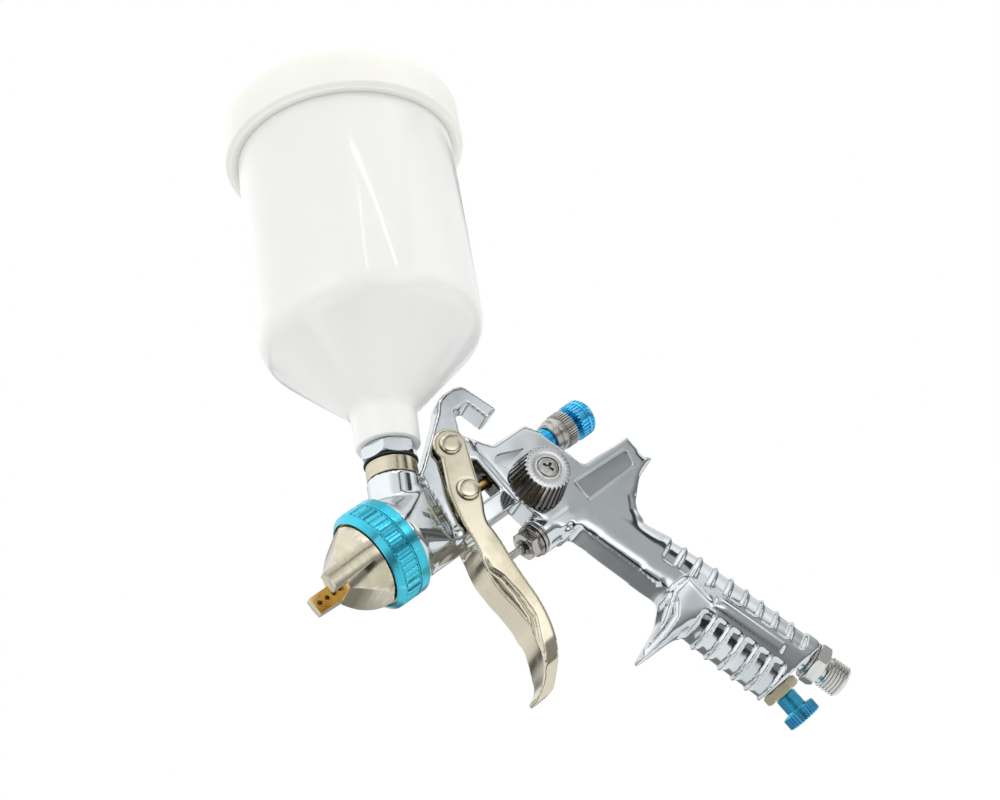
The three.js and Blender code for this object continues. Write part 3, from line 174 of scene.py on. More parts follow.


# edges are lightened as wear and painted highlight, crevices darkened as dirt and painted shade
metal = {"metallic": 1.0, "smudgeScale": 55.0, "scratchScale": 260.0, "stainShare": 0.5, "edgeWearAndHighlight": 0.4, "creviceDirtAndShade": 0.4,
         "smudge": 0.06, "scratch": 0.08, "grain": 0.2, "cut": 0.04, "bump": 0.25, "depth": 0.00003,
         "pitch": 3000.0, "turning": 1.0}
plastic = {"metallic": 0.0, "smudgeScale": 18.0, "scratchScale": 160.0, "stainShare": 0.5, "creviceDirtAndShade": 0.2,
           "smudge": 0.08, "scratch": 0.05, "grain": 0.4, "bump": 0.2, "depth": 0.00004,
           "milky": 0.0, "milkRadius": (1.0, 0.95, 0.85), "milkDepth": 0.01, "coat": 0.0, "coatRoughness": 0.04}
socketOf = {"metallic": "Metallic", "milky": "Subsurface Weight", "milkRadius": "Subsurface Radius",
            "milkDepth": "Subsurface Scale", "coat": "Coat Weight", "coatRoughness": "Coat Roughness"}
# Edge mixes in a painted highlight along with wear; Crevice mixes in painted shade along with dirt
shadeOf = {"Smudge": ("stainShare", "stain"), "Edge": ("edgeWearAndHighlight", "edgeWearAndHighlightColour"), "Crevice": ("creviceDirtAndShade", "creviceDirtAndShadeColour")}
turnRough, turnShade = 0.05, 0.18


# one finish: colour, polish, marks of handling with a painted highlight on edges and painted shade in crevices, and,
# where it was turned, rings along its axis
def finish(name, look, axis=None):
    material, tree, shader = newMaterial(name)
    for key, label in socketOf.items():
        if key in look:
            shader.inputs[label].default_value = look[key]
    vector = objectPlace(tree)
    marks = placeGroup(tree, handled, vector, Smudge_Scale=look["smudgeScale"], Scratch_Scale=look["scratchScale"])
    colour = linear(look["colour"])
    # edges get a painted highlight and crevices painted shade, along with wear and dirt
    for mark, (strength, shade) in shadeOf.items():
        if strength in look:
            share = times(tree, marks[mark], look[strength])
            colour = mixColours(tree, share, colour, linear(look.get(shade, look["colour"])))
    rough = plus(tree, times(tree, marks["Smudge"], look["smudge"]), look["roughness"])
    rough = plus(tree, rough, times(tree, marks["Scratch"], look["scratch"]))
    height = times(tree, marks["Grain"], look["grain"])
    if "cut" in look:
        height = calc(tree, "SUBTRACT", height, times(tree, marks["Scratch"], look["cut"]))
    if axis:
        turn = addNode(tree, "ShaderNodeMapping", vector_type="TEXTURE")
        turn.inputs["Location"].default_value = axis.translation
        turn.inputs["Rotation"].default_value = axis.to_euler()
        tree.links.new(vector, turn.inputs["Vector"])
        rings = placeGroup(tree, lathe, turn.outputs["Vector"], Pitch=look["pitch"])
        height = plus(tree, height, times(tree, rings["Height"], look["turning"]))
        rough = plus(tree, rough, times(tree, rings["Shade"], turnRough))
        colour = mixColours(tree, times(tree, rings["Shade"], turnShade), colour, linear(look["stain"]))
    if "waves" in look:
        scale, swell = look["waves"]
        height = plus(tree, height, times(tree, noiseOf(tree, vector, scale, 1.0), swell))
    bump = addNode(tree, "ShaderNodeBump")
    bump.inputs["Strength"].default_value = look["bump"]
    bump.inputs["Distance"].default_value = look["depth"]
    tree.links.new(height, bump.inputs["Height"])
    tree.links.new(bump.outputs["Normal"], shader.inputs["Normal"])
    tree.links.new(colour, shader.inputs["Base Color"])
    tree.links.new(rough, shader.inputs["Roughness"])
    return material


# lays another colour over a part of a finish; maskOf makes the mask from x, y and z
def overlaid(material, hexCode, maskOf):
    tree = material.node_tree
    base = tree.nodes["Principled BSDF"].inputs["Base Color"]
    under = base.links[0].from_socket
    mask = maskOf(tree, separated(tree, objectPlace(tree)))
    tree.links.new(mixColours(tree, mask, under, linear(hexCode)), base)
    return material


turns = {
    "spray": Matrix.Rotation(math.pi / 2, 4, "Y"),
    "left": Matrix.Rotation(math.pi / 2, 4, "X"),
    "right": Matrix.Rotation(-math.pi / 2, 4, "X"),
    "down": Matrix.Rotation(math.pi, 4, "X"),
    "cup": Matrix.Rotation(cupLean, 4, "Y"),
    "inlet": Matrix.Rotation(math.pi - handleLean, 4, "Y"),
}


def axisAt(turn, x, y, z):
    return Matrix.Translation(spot(x, y, z)) @ turns[turn]


sprayAxis = axisAt("spray", 0, 0, 0)
cupAxis = axisAt("cup", 6.3, 0, 0)
valveAxis = axisAt("spray", 0, 0, -29)
fanAxis = axisAt("left", 62.9, 0, -13.1)
controlAxis = axisAt("down", 90.2, 0, -130)
inletAxis = axisAt("inlet", 109.5, 0, -130)
pivotLeft = axisAt("left", 44, 0, 18.5)
pivotRight = axisAt("right", 44, 0, 18.5)
pullLeft = axisAt("left", 37, 0, 0)

# in each look the crevice colour is dirt and painted shade
# in each look the edge colour is rubbed wear and a painted highlight
chromeLook = {**metal, "colour": "d4dadd", "stain": "b0b9be", "stainShare": 0.35, "edgeWearAndHighlightColour": "f0f0f0", "creviceDirtAndShadeColour": "4a4a4c",
              "roughness": 0.085, "smudge": 0.05, "scratch": 0.03, "grain": 0.05, "smudgeScale": 60.0,
              "waves": (75.0, 9.0), "depth": 0.00007, "edgeWearAndHighlight": 0.35, "creviceDirtAndShade": 0.5}
nickelLook = {**metal, "colour": "c9c3ae", "stain": "a79f88", "stainShare": 0.4, "edgeWearAndHighlightColour": "ece7dd", "creviceDirtAndShadeColour": "3f3a33",
              "roughness": 0.15, "turning": 0.35, "pitch": 2600.0, "scratch": 0.04, "grain": 0.06}
warmNickelLook = {**metal, "colour": "d6cfba", "stain": "b0a68b", "stainShare": 0.45, "edgeWearAndHighlightColour": "f2eee6",
                  "creviceDirtAndShadeColour": "38332c", "roughness": 0.15, "smudge": 0.1, "waves": (70.0, 5.0), "depth": 0.00005,
                  "creviceDirtAndShade": 0.5}
brassLook = {**metal, "colour": "e2c684", "stain": "b4924a", "edgeWearAndHighlightColour": "f0d898", "creviceDirtAndShadeColour": "47340f", "roughness": 0.2,
             "pitch": 4200.0}
steelLook = {**metal, "colour": "b9b8b4", "stain": "96948e", "edgeWearAndHighlightColour": "dddcd8", "creviceDirtAndShadeColour": "33322f", "roughness": 0.22}
darkLook = {**metal, "colour": "7b7773", "stain": "5f5c59", "edgeWearAndHighlightColour": "d9d9d7", "creviceDirtAndShadeColour": "101010", "roughness": 0.17,
            "edgeWearAndHighlight": 0.6, "creviceDirtAndShade": 0.7, "scratch": 0.03, "grain": 0.05}
turquoiseLook = {**metal, "colour": "4cc3da", "stain": "35aec8", "stainShare": 0.5, "edgeWearAndHighlightColour": "a8e6f2", "creviceDirtAndShadeColour": "0b5a70",
                 "roughness": 0.18, "edgeWearAndHighlight": 0.3, "creviceDirtAndShade": 0.8, "turning": 0.3, "grain": 0.08}
blueLook = {**metal, "colour": "58cdf4", "stain": "3ab4e8", "stainShare": 0.4, "edgeWearAndHighlightColour": "9ad6fb", "creviceDirtAndShadeColour": "053a6e",
            "roughness": 0.2, "edgeWearAndHighlight": 0.55, "creviceDirtAndShade": 0.7, "turning": 0.3, "grain": 0.08}
cupLook = {**plastic, "colour": "f6f6f2", "stain": "f1f2eb", "roughness": 0.3, "coat": 0.45, "milky": 0.35,
           "milkDepth": 0.012, "grain": 0.2, "smudge": 0.06, "stainShare": 0.4}
lidLook = {**plastic, "colour": "efefe8", "stain": "e8e8df", "roughness": 0.42, "milky": 0.35,
           "grain": 0.5, "stainShare": 0.4}
silverLook = {**metal, "colour": "dadad8", "stain": "bdbdb8", "stainShare": 0.4, "edgeWearAndHighlightColour": "f0f0ee", "creviceDirtAndShadeColour": "3a3a38",
              "roughness": 0.15, "turning": 0.4, "pitch": 2600.0, "scratch": 0.04, "grain": 0.06}
champagneLook = {**metal, "colour": "e9e1c9", "stain": "d6cbad", "edgeWearAndHighlightColour": "f6f1e2", "creviceDirtAndShadeColour": "4a4332", "roughness": 0.3,
                 "turning": 0.3, "pitch": 2600.0, "scratch": 0.04, "grain": 0.06, "creviceDirtAndShade": 0.2}
rubberLook = {**plastic, "colour": "1b1b1b", "stain": "2a2a2a", "roughness": 0.55, "grain": 0.8}
sealLook = {**plastic, "colour": "f1f1ec", "stain": "dcdcd4", "roughness": 0.4, "milky": 0.15, "milkDepth": 0.004}

finishes = {slot: finish(slot.replace("_", " "), look) for slot, look in {
    "body_chrome": chromeLook, "nickel": nickelLook, "hex_chrome": chromeLook, "warm_nickel": warmNickelLook,
    "brass": brassLook, "steel": steelLook, "dark_steel": darkLook, "turquoise": turquoiseLook, "blue": blueLook,
    "cup_plastic": cupLook, "lid_plastic": lidLook, "rubber": rubberLook, "seal_plastic": sealLook,
}.items()}
nickelCup = finish("nickel turned on the cup axis", nickelLook, cupAxis)
nickelInlet = finish("bright nickel on the inlet axis", silverLook, inletAxis)
nickelControl = finish("champagne nickel on the control axis", champagneLook, controlAxis)
brassSpray, steelSpray, turquoiseSpray, blueSpray = (
    finish(label + " turned on the spray axis", look, sprayAxis) for label, look in (
        ("brass", brassLook), ("steel", steelLook), ("turquoise", turquoiseLook), ("blue", blueLook)))
steelFan = finish("steel turned on the fan axis", steelLook, fanAxis)
steelValve = finish("steel turned on the valve axis", steelLook, valveAxis)
darkValve = finish("dark steel turned on the valve axis", darkLook, valveAxis)
blueControl = finish("blue turned on the control axis", blueLook, controlAxis)
print("materials made:", len(bpy.data.materials))

slotOf = {entry["node"]: entry["material_slot"] for entry in frame["record"]["subparts"]}
for name, node in nodes.items():
    node.data.materials.clear()
    node.data.materials.append(finishes[slotOf[name]])


def toMode(mode):
    bpy.ops.object.mode_set(mode=mode)


def deselectAll():
    if bpy.context.object and bpy.context.object.mode == "EDIT":
        toMode("OBJECT")
    bpy.ops.object.select_all(action="DESELECT")


def choose(piece):
    deselectAll()
    piece.select_set(True)
    bpy.context.view_layer.objects.active = piece


def editAll(piece):
    choose(piece)
    toMode("EDIT")
    bpy.ops.mesh.select_all(action="SELECT")


def applied(piece, kind, **values):
    choose(piece)
    modifier = piece.modifiers.new(kind.lower(), kind)
    for key, value in values.items():
        setattr(modifier, key, value)
    bpy.ops.object.modifier_apply(modifier=modifier.name)
    return piece


# a circle in the xy plane, ready to be extruded
def startCircle(name, count, radius=1.0, height=0.0, fill="NGON"):
    deselectAll()
    bpy.ops.mesh.primitive_circle_add(vertices=count, radius=radius * mm, location=(0, 0, height * mm), fill_type=fill)
    piece = bpy.context.object
    piece.name = name
    placed()
    return piece


def placed():
    bpy.ops.object.transform_apply(location=True, rotation=True, scale=True)


def extrude(x, y, z):
    bpy.ops.mesh.extrude_region_move(TRANSFORM_OT_translate={"value": (x * mm, y * mm, z * mm)})


def outward(piece):
    editAll(piece)
    bpy.ops.mesh.remove_doubles(threshold=0.000002)
    bpy.ops.mesh.normals_make_consistent(inside=False)
    toMode("OBJECT")
    return piece


# turned piece: pairs of height and radius in mm; it starts as a circle that is extruded and scaled ring by ring
# a slot row is: from height, to height, count, share of the pitch, depth, least radius that it touches
def turned(name, profile, axis, sides=96, slots=(), twist=0.0):
    closed = profile[0] == profile[-1]
    height, radius = profile[0]
    piece = startCircle(name, sides, radius, height, "NOTHING" if closed else "NGON")
    editAll(piece)
    for nextHeight, nextRadius in profile[1:]:
        extrude(0, 0, nextHeight - height)
        grow = nextRadius / radius
        if grow != 1:
            bpy.ops.transform.resize(value=(grow, grow, 1), center_override=(0, 0, nextHeight * mm))
        height, radius = nextHeight, nextRadius
    for low, high, count, share, depth, least in slots:
        mesh = bmesh.from_edit_mesh(piece.data)
        reach = 0
        for vertex in mesh.verts:
            turn = (math.atan2(vertex.co.y, vertex.co.x) / (2 * math.pi) * count + 0.01) % 1
            out = vertex.co.xy.length
            inside = (low - 0.01) * mm < vertex.co.z < (high + 0.01) * mm and turn < share and out > least * mm
            vertex.select_set(inside)
            reach = max(reach, out) if inside else reach
        bmesh.update_edit_mesh(piece.data)
        shrink = 1 - depth * mm / reach
        bpy.ops.transform.resize(value=(shrink, shrink, 1), center_override=(0, 0, 0))
    toMode("OBJECT")
    piece.matrix_world = axis @ Matrix.Rotation(twist, 4, "Z")
    placed()
    return outward(piece)


# corner reaches rounded with a few points each: outline points are x, z and an optional reach
def rounded(points, steps=6):
    flat = []
    for i, point in enumerate(points):
        here = Vector(point[:2])
        reach = point[2] if len(point) > 2 else 0
        if not reach:
            flat.append(here)
            continue
        before = Vector(points[i - 1][:2]) - here
        after = Vector(points[(i + 1) % len(points)][:2]) - here
        start = here + before.normalized() * min(reach, before.length / 2)
        end = here + after.normalized() * min(reach, after.length / 2)
        for k in range(steps + 1):
            t = k / steps
            flat.append(start * (1 - t) ** 2 + here * 2 * t * (1 - t) + end * t * t)
    return flat


# flat piece across y: a circle's points are moved to the outline, then extruded
def plate(name, points, low, high):
    flat = rounded(points)
    piece = startCircle(name, len(flat))
    for vertex, point in zip(piece.data.vertices, flat):
        vertex.co = spot(point.x, low, point.y)
    editAll(piece)
    extrude(0, high - low, 0)
    toMode("OBJECT")
    return outward(piece)


def combine(piece, tool, operation):
    applied(piece, "BOOLEAN", operation=operation, object=tool, solver="EXACT")
    bpy.data.objects.remove(tool)
    return piece


def block(name, size, matrix, bevel=0.0):
    deselectAll()
    bpy.ops.mesh.primitive_cube_add(size=1)
    piece = bpy.context.object
    piece.name = name
    piece.matrix_world = matrix @ Matrix.Diagonal((*[length * mm for length in size], 1))
    placed()
    if bevel:
        applied(piece, "BEVEL", width=bevel * mm, segments=3, limit_method="NONE")
    return piece


def softened(piece, width, segments=2, angle=30):
    applied(piece, "BEVEL", width=width * mm, segments=segments, limit_method="ANGLE",
            angle_limit=math.radians(angle), use_clamp_overlap=True)
    return piece


def done(piece, material, slot, body, *replaced, smooth=38, weighted=True):
    choose(piece)
    piece.data.materials.clear()
    piece.data.materials.append(material)
    bpy.ops.object.shade_smooth_by_angle(angle=math.radians(smooth))
    if weighted:
        applied(piece, "WEIGHTED_NORMAL", keep_sharp=True)
    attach(piece, body)
    if replaced:
        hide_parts(*replaced)
    print("piece", piece.name, len(piece.data.polygons))
    return piece


bodySizes = {
    "plateHalf": 5.4, "rearHalf": 7.0, "voxel": 0.6, "smoothing": 7,
    "palm": {"reach": 8, "depth": 0.55, "foot": -60, "fade": 12},
    "step": {"depth": 0.4, "wide": 1.6, "groove": 0.6, "grooveHalf": 1.15, "far": 9, "fade": 5},
    "stripEdge": 1.2,
    "handle": [  # height, front, rear, half width, boxiness of the front and of the back
        (-37, 65.8, 88, 7.2, 0.15, 0.8), (-50, 69.2, 93.3, 7.4, 0.15, 0.8), (-75, 75.9, 102.9, 7.6, 0.25, 0.9),
        (-84, 75, 105.4, 9.6, 0.6, 1), (-94, 72.5, 108, 11.8, 0.85, 1), (-130, 81.6, 118, 11.8, 0.85, 1),
    ],
    "handlePoints": 72, "handleSteps": 5,
    "grips": [  # count, x and height of the first pocket, pitch, inner reach, rearward or forward
        (9, 88.6, -67, 7.2, -3.6, 1), (6, 77.6, -94.5, 6.4, -4.5, -1),
    ],
    "pocket": 1.1, "rib": 1.4, "corner": 1.5, "wall": 1.2,
    "webEdge": [(22.2, -13.4), (24.8, 2), (27.3, 12)],
    "palmEdge": [(109, -16), (109, -28.9), (102, -33), (91.5, -36.2), (86.6, -42.1), (84.4, -51), (84.4, -60)],
    "frontLine": [(62.9, -33.1), (67.1, -46.1), (68.8, -53.1), (70.4, -61.7), (74.2, -71), (75.9, -76.5),
                  (74.9, -81.5), (71.3, -85.2), (65, -87), (53.3, -88.5), (46.4, -89.7)],
    "facet": [(54.6, 3.2, 0.6), (57.5, 5.6, 3), (69.5, 1.2, 0.4), (60, -0.6, 3), (57, -1.9, 0.6)],
    "badge": [(76.4, -20.6), (106.6, -21.8), (104.4, -30.6), (76.2, -30.9)],
    "strip": (86.7, -91.3, 31, 2.1, 0.45),  # x and height of its top, length, half breadth, rise
    "smoothed": [  # name, boxes from lower to upper x and height with a weight, rounds of smoothing
        ("finRoot", [((64, -99), (92, -72), 1)], 30), ("palm", [((67, -64), (112, -25.5), 1)], 45),
        ("edges", [((49, -94), (58, -76), 0.35), ((58, -94), (82, -76), 1), ((56, -44), (73, -29), 0.6)], 28),
        ("web", [((7.5, -30), (26, 13), 1), ((26, -30), (36, -9), 1)], 24),
    ],
}


def handleStation(z):
    rows = bodySizes["handle"]
    k = next((i for i in range(1, len(rows)) if rows[i][0] <= z), len(rows) - 1)
    above, below = rows[k - 1], rows[k]
    share = (above[0] - z) / (above[0] - below[0])
    return [a + share * (b - a) for a, b in zip(above, below)]


def makeHandle():
    rows = bodySizes["handle"]
    heights = [rows[0][0]]
    for above, below in zip(rows, rows[1:]):
        for k in range(1, bodySizes["handleSteps"] + 1):
            heights.append(above[0] + (below[0] - above[0]) * k / bodySizes["handleSteps"])
    count = bodySizes["handlePoints"]
    piece = startCircle("handle", count)
    editAll(piece)
    for k in range(len(heights) - 1):
        extrude(0, 0, -1)
    toMode("OBJECT")
    for vertex in piece.data.vertices:
        z, front, rear, half, frontPower, rearPower = handleStation(heights[vertex.index // count])
        angle = 2 * math.pi * ((vertex.index % count) + 0.5) / count
        c, s = math.cos(angle), math.sin(angle)
        power = rearPower if c > 0 else frontPower
        x = (front + rear) / 2 + (rear - front) / 2 * math.copysign(abs(c) ** power, c)
        vertex.co = spot(x, half * math.copysign(abs(s) ** power, s), z)
    return outward(piece)


# smallest solid round a few points given in mm
def hullOf(name, points):
    mesh = bpy.data.meshes.new(name)
    shell = bmesh.new()
    for point in points:
        shell.verts.new(spot(*point))
    found = bmesh.ops.convex_hull(shell, input=shell.verts)
    bmesh.ops.delete(shell, geom=[g for g in found["geom_interior"] if isinstance(g, bmesh.types.BMVert)],
                     context="VERTS")
    shell.to_mesh(mesh)
    shell.free()
    piece = bpy.data.objects.new(name, mesh)
    bpy.context.scene.collection.objects.link(piece)
    return outward(piece)


# how far a point is from a line of x and height, and on which side of it
def fromLine(line, x, z):
    best = None
    for (ax, az), (bx, bz) in zip(line, line[1:]):
        dx, dz = bx - ax, bz - az
        share = min(max(((x - ax) * dx + (z - az) * dz) / (dx * dx + dz * dz), 0), 1)
        away = math.hypot(x - ax - share * dx, z - az - share * dz)
        if best is None or away < best[0]:
            best = (away, math.copysign(1, dx * (z - az) - dz * (x - ax)))
    return best[0] * best[1]


def within(value):
    return min(max(value, 0), 1)


def eased(share):
    return share * share * (3 - 2 * share)


def shrunk(corners, width):
    middleX = sum(x for x, _ in corners) / len(corners)
    middleZ = sum(z for _, z in corners) / len(corners)
    return [(x + math.copysign(width, middleX - x), z + math.copysign(width, middleZ - z)) for x, z in corners]


# along and across the grip from a point of it
def onGrip(x, z, firstX, firstZ):
    c, s = math.cos(handleLean), math.sin(handleLean)
    return (x - firstX) * s - (z - firstZ) * c, (x - firstX) * c + (z - firstZ) * s


# share from 0 to 1 of a pocket's depth at a point of the grip
def pocketShare(x, z):
    deepest = 0
    for count, firstX, firstZ, pitch, inner, way in bodySizes["grips"]:
        along, across = onGrip(x, z, firstX, firstZ)
        across *= way
        k = min(max(round(along / pitch), 0), count - 1)
        corner = bodySizes["corner"]
        over = abs(along - k * pitch) - (pitch - bodySizes["rib"]) / 2 + corner
        short = inner - across + corner
        away = math.hypot(max(over, 0), max(short, 0)) + min(max(over, short), 0) - corner
        deepest = max(deepest, within(0.5 - away / bodySizes["wall"]))
    return eased(deepest)


# the casting's softer forms: rounded palm, the step along the air tube, and the grip's pockets
def carve(body):
    mesh = body.data
    palm, step = bodySizes["palm"], bodySizes["step"]
    moves = []
    for vertex in mesh.vertices:
        x, y, z = vertex.co / mm + hookSeat
        side = math.copysign(1, y)
        push = Vector((0, 0, 0))
        if -60 < z < -14 and x > 80:
            beyond = fromLine(bodySizes["palmEdge"], x, z)
            if beyond > 0:
                turn = min(beyond / palm["reach"], 1)
                fade = within((z - palm["foot"]) / palm["fade"])
                push.y -= palm["depth"] * y * (1 - math.sqrt(1 - turn * turn)) * fade
        if abs(y) > 3 and 44 < x < 80 and -92 < z < -33:
            beyond = fromLine(bodySizes["frontLine"], x, z)
            if -step["far"] < beyond < 3:
                low = within(0.5 - beyond / step["wide"]) * within((beyond + step["far"]) / step["fade"])
                groove = max(0, 1 - (beyond / step["grooveHalf"]) ** 2)
                push.y -= side * (step["depth"] * eased(low) + step["groove"] * groove)
        if z < -60 and x > 70:
            push -= vertex.normal * bodySizes["pocket"] * pocketShare(x, z)
            topX, topZ, length, half, rise = bodySizes["strip"]
            along, across = onGrip(x, z, topX, topZ)
            over = max(abs(across) - half, -along, along - length)
            if abs(y) > 5:
                push += vertex.normal * rise * within(0.5 - over / bodySizes["stripEdge"])
        moves.append(push)
    for vertex, push in zip(mesh.vertices, moves):
        vertex.co += push * mm
    mesh.update()


# painted shade inside the window: its walls are coloured dark grey, the rest stays bright
def windowShadeMask(tree, place):
    low, high = spot(27, 0, -7.2), spot(51, 4.9, 16)
    inside = calc(tree, "LESS_THAN", calc(tree, "ABSOLUTE", place["Y"]), high.y)
    for label, axis in (("X", 0), ("Z", 2)):
        inside = times(tree, inside, calc(tree, "GREATER_THAN", place[label], low[axis]))
        inside = times(tree, inside, calc(tree, "LESS_THAN", place[label], high[axis]))
    return inside


def smoothPart(body, name, boxes, iterations):
    group = body.vertex_groups.new(name=name)
    for corner, other, weight in boxes:
        low, high = spot(corner[0], 0, corner[1]), spot(other[0], 0, other[1])
        near = [v.index for v in body.data.vertices if low.x < v.co.x < high.x and low.z < v.co.z < high.z]
        group.add(near, weight, "REPLACE")
    applied(body, "SMOOTH", factor=0.5, iterations=iterations, vertex_group=name)


def makeBody():
    head = turned("bodyShell", [
        (-4.5, 18), (2.2, 18), (2.2, 18.4), (3.4, 18.4), (5.5, 17.4), (8, 15.6), (10.5, 13.4), (12.5, 11.5),
        (15, 8.9), (18, 6.4), (23.6, 5.5),
    ], sprayAxis, 120)
    socket = turned("socket", [(0, 10.3), (24.3, 10.3)], cupAxis, 96)
    beam = turned("beam", [(4, 6), (34, 6)], axisAt("spray", 0, 0, -11.5), 64)
    valveBoss = turned("valveBoss", [(51.6, 7.2), (68, 7.2)], valveAxis, 72)
    front = plate("front", [
        (29.4, 17), (51.5, 33), (55.5, 37.5, 3), (67.5, 37.5, 3), (73, 20.8), (67, 19.7), (64.4, 29.7),
        (57.4, 29.7, 1.5), (52.5, 20.2, 1.5), (59.5, 9.2), (59.5, -14.6), (34, -14.6), (22.3, -14.6),
        (24.9, 2), (27.8, 16.4),
    ], -bodySizes["plateHalf"], bodySizes["plateHalf"])
    rear = plate("rear", [
        (52.6, 9.6), (53.4, 17.2), (59.5, 9.2, 1.5), (76.5, 9.2, 1.5), (80, 4), (86, -17.8, 1.5), (110.8, -18.6),
        (110.8, -29), (114, -31.6, 0.9), (103, -34.6, 3), (92.6, -43, 3), (91.7, -49), (72, -46), (66, -36.5),
        (59.5, -36.5), (53.5, -21.8), (52.6, -14.6),
    ], -bodySizes["rearHalf"], bodySizes["rearHalf"])
    fin = plate("fin", [
        (48.7, -89), (67, -83.65), (77.5, -77.5), (85.3, -77.5), (85.3, -93), (67, -91.4), (48.7, -90.6),
    ], -11.8, 11.8)
    taper = block("taper", (1, 1, 1), Matrix.Identity(4))
    for vertex in taper.data.vertices:
        x = 47.7 if vertex.co.x < 0 else 86.3
        half = 2 if vertex.co.x < 0 else 11.8
        vertex.co = spot(x, math.copysign(half, vertex.co.y), -76 if vertex.co.z > 0 else -95)
    combine(fin, outward(taper), "INTERSECT")
    web = hullOf("web", [
        (5.5, 17.3 * math.cos(k * math.pi / 48), 17.3 * math.sin(k * math.pi / 48)) for k in range(96)
    ] + [(x, y, z) for x, z in bodySizes["webEdge"] for y in (-4.9, 4.9)])
    body = head
    for other in (socket, beam, valveBoss, front, rear, makeHandle(), fin, web):
        combine(body, other, "UNION")
    print("body parts joined")

    window = plate("window", [
        (27.8, -6.5), (36.3, 15.5), (39.5, 15.5), (49.2, 9.6), (50.2, 8.6), (50.2, -6.5),
    ], -8, 8)
    cutters = [
        window,
        turned("noseBore", [(-5.5, 6.1), (4.8, 6.1)], sprayAxis, 48),
        turned("packingSpot", [(29.3, 5.4), (39.5, 5.4)], sprayAxis, 48),
        turned("guide", [(49, 2.6), (60, 2.6)], sprayAxis, 32),
        turned("rearBore", [(58, 5.4), (86, 5.4)], sprayAxis, 48),
        turned("cupBore", [(12, 8), (26, 8)], cupAxis, 48),
        turned("valveBore", [(50, 5.2), (58, 5.2)], valveAxis, 48),
        turned("fanBore", [(4, 5.2), (8, 5.2)], fanAxis, 48),
        turned("inletBore", [(-9, 5.9), (6, 5.9)], inletAxis, 48),
        turned("inletFace", [(0, 9.4), (9.4, 9.4)], inletAxis, 64),
        turned("controlBore", [(-9, 4.6), (1, 4.6)], controlAxis, 48),
        turned("pivotBore", [(-9, 3.3), (9, 3.3)], pivotLeft, 32),
    ]
    for cutter in cutters:
        combine(body, cutter, "DIFFERENCE")
    editAll(body)
    bpy.ops.mesh.remove_doubles(threshold=0.00001)
    bpy.ops.mesh.dissolve_degenerate(threshold=0.00001)
    bpy.ops.mesh.select_all(action="SELECT")
    bpy.ops.mesh.fill_holes(sides=0)
    bpy.ops.mesh.select_all(action="SELECT")
    bpy.ops.mesh.normals_make_consistent(inside=False)
    toMode("OBJECT")
    print("body cut:", len(body.data.polygons))
    applied(body, "REMESH", mode="VOXEL", voxel_size=bodySizes["voxel"] * mm)
    applied(body, "SMOOTH", factor=0.5, iterations=bodySizes["smoothing"])
    for name, boxes, iterations in bodySizes["smoothed"]:
        smoothPart(body, name, boxes, iterations)
    body.vertex_groups.clear()
    carve(body)
    for side in (-1, 1):
        low, high = sorted((side * 6, side * 9))
        combine(body, plate("facet", bodySizes["facet"], low, high), "DIFFERENCE")
        for k in range(3):
            lay = Matrix.Translation(spot(14.6 + 2 * k, side * (12.1 - 1.3 * k), 0.2 - 3.1 * k))
            turn = Matrix.Rotation(-0.6 * side, 4, "Z") @ Matrix.Rotation(0.5, 4, "Y")
            combine(body, block("hollow", (4.2, 4.4, 2.3), lay @ turn, 0.4), "DIFFERENCE")
    inner = [(x, z, 1.4) for x, z in shrunk(bodySizes["badge"], 1.0)]
    combine(body, plate("badgeFloor", inner, -9, -6.5), "DIFFERENCE")
    # the window's inside is coloured dark grey as painted shade
    bodyWithWindowShade = overlaid(finish("plated body, painted shade in window", chromeLook), "5a5a5c", windowShadeMask)
    done(body, bodyWithWindowShade, "body_chrome", "gun", "gun_body", smooth=80, weighted=False)
    return body


makeBody()


# raised bare border on the left of the rear plate
badgeRise = 0.5


def makeBareFields():
    corners = [(x, z, 1.8) for x, z in bodySizes["badge"]]
    border = plate("rearPlateBorder", corners, -7.0 - badgeRise, -6.4)
    opening = [(x, z, 1.4) for x, z in shrunk(bodySizes["badge"], 1.1)]
    combine(border, plate("opening", opening, -9, -5), "DIFFERENCE")
    softened(border, 0.3, 3)
    done(border, finishes["body_chrome"], "body_chrome", "gun")


makeBareFields()


def bored(piece, low, high, radius, axis, sides=64):
    return combine(piece, turned("bore", [(low, radius), (high, radius)], axis, sides), "DIFFERENCE")


# plain ring with rounded outer corners
def ringOf(name, low, high, inner, outer, reach, axis, sides=96, steps=3):
    return turned(name, section([(low, inner), (low, outer, reach), (high, outer, reach), (high, inner)], steps),
                  axis, sides)


# closed section from points of height, radius and an optional reach of rounding
def section(points, steps=4):
    loop = [tuple(point) for point in rounded(points, steps)]
    return loop + loop[:1]


# nut with flats: a six-sided prism whose corners are turned off at both ends
def hexNut(name, low, high, across, axis, twist=0.0, chamfer=0.8):
    corner = across / math.sqrt(3)
    nut = turned(name, [(low, corner), (high, corner)], axis, 6, twist=twist)
    dome = [(low - 0.02, across / 2 - 0.1), (low + chamfer, corner + 0.3), (high - chamfer, corner + 0.3),
            (high + 0.02, across / 2 - 0.1)]
    combine(nut, turned("dome", dome, axis, 120), "INTERSECT")
    return softened(nut, 0.14, 2, 20)


def threadRows(low, high, radius, depth, pitch):
    rows = []
    for k in range(round((high - low) / pitch)):
        start = low + pitch * k
        rows += [(start, radius - depth), (start + 0.35 * pitch, radius), (start + 0.65 * pitch, radius)]
    return rows + [(high, radius - depth)]


# air cap ring with its knurled band between two grooves
ringSizes = {"rear": 1.9, "front": -12.3, "radius": 20, "groove": 19.35, "bore": 18.3, "mouth": 17.5,
             "knurl": (-9.6, -2.6), "ribs": 44}


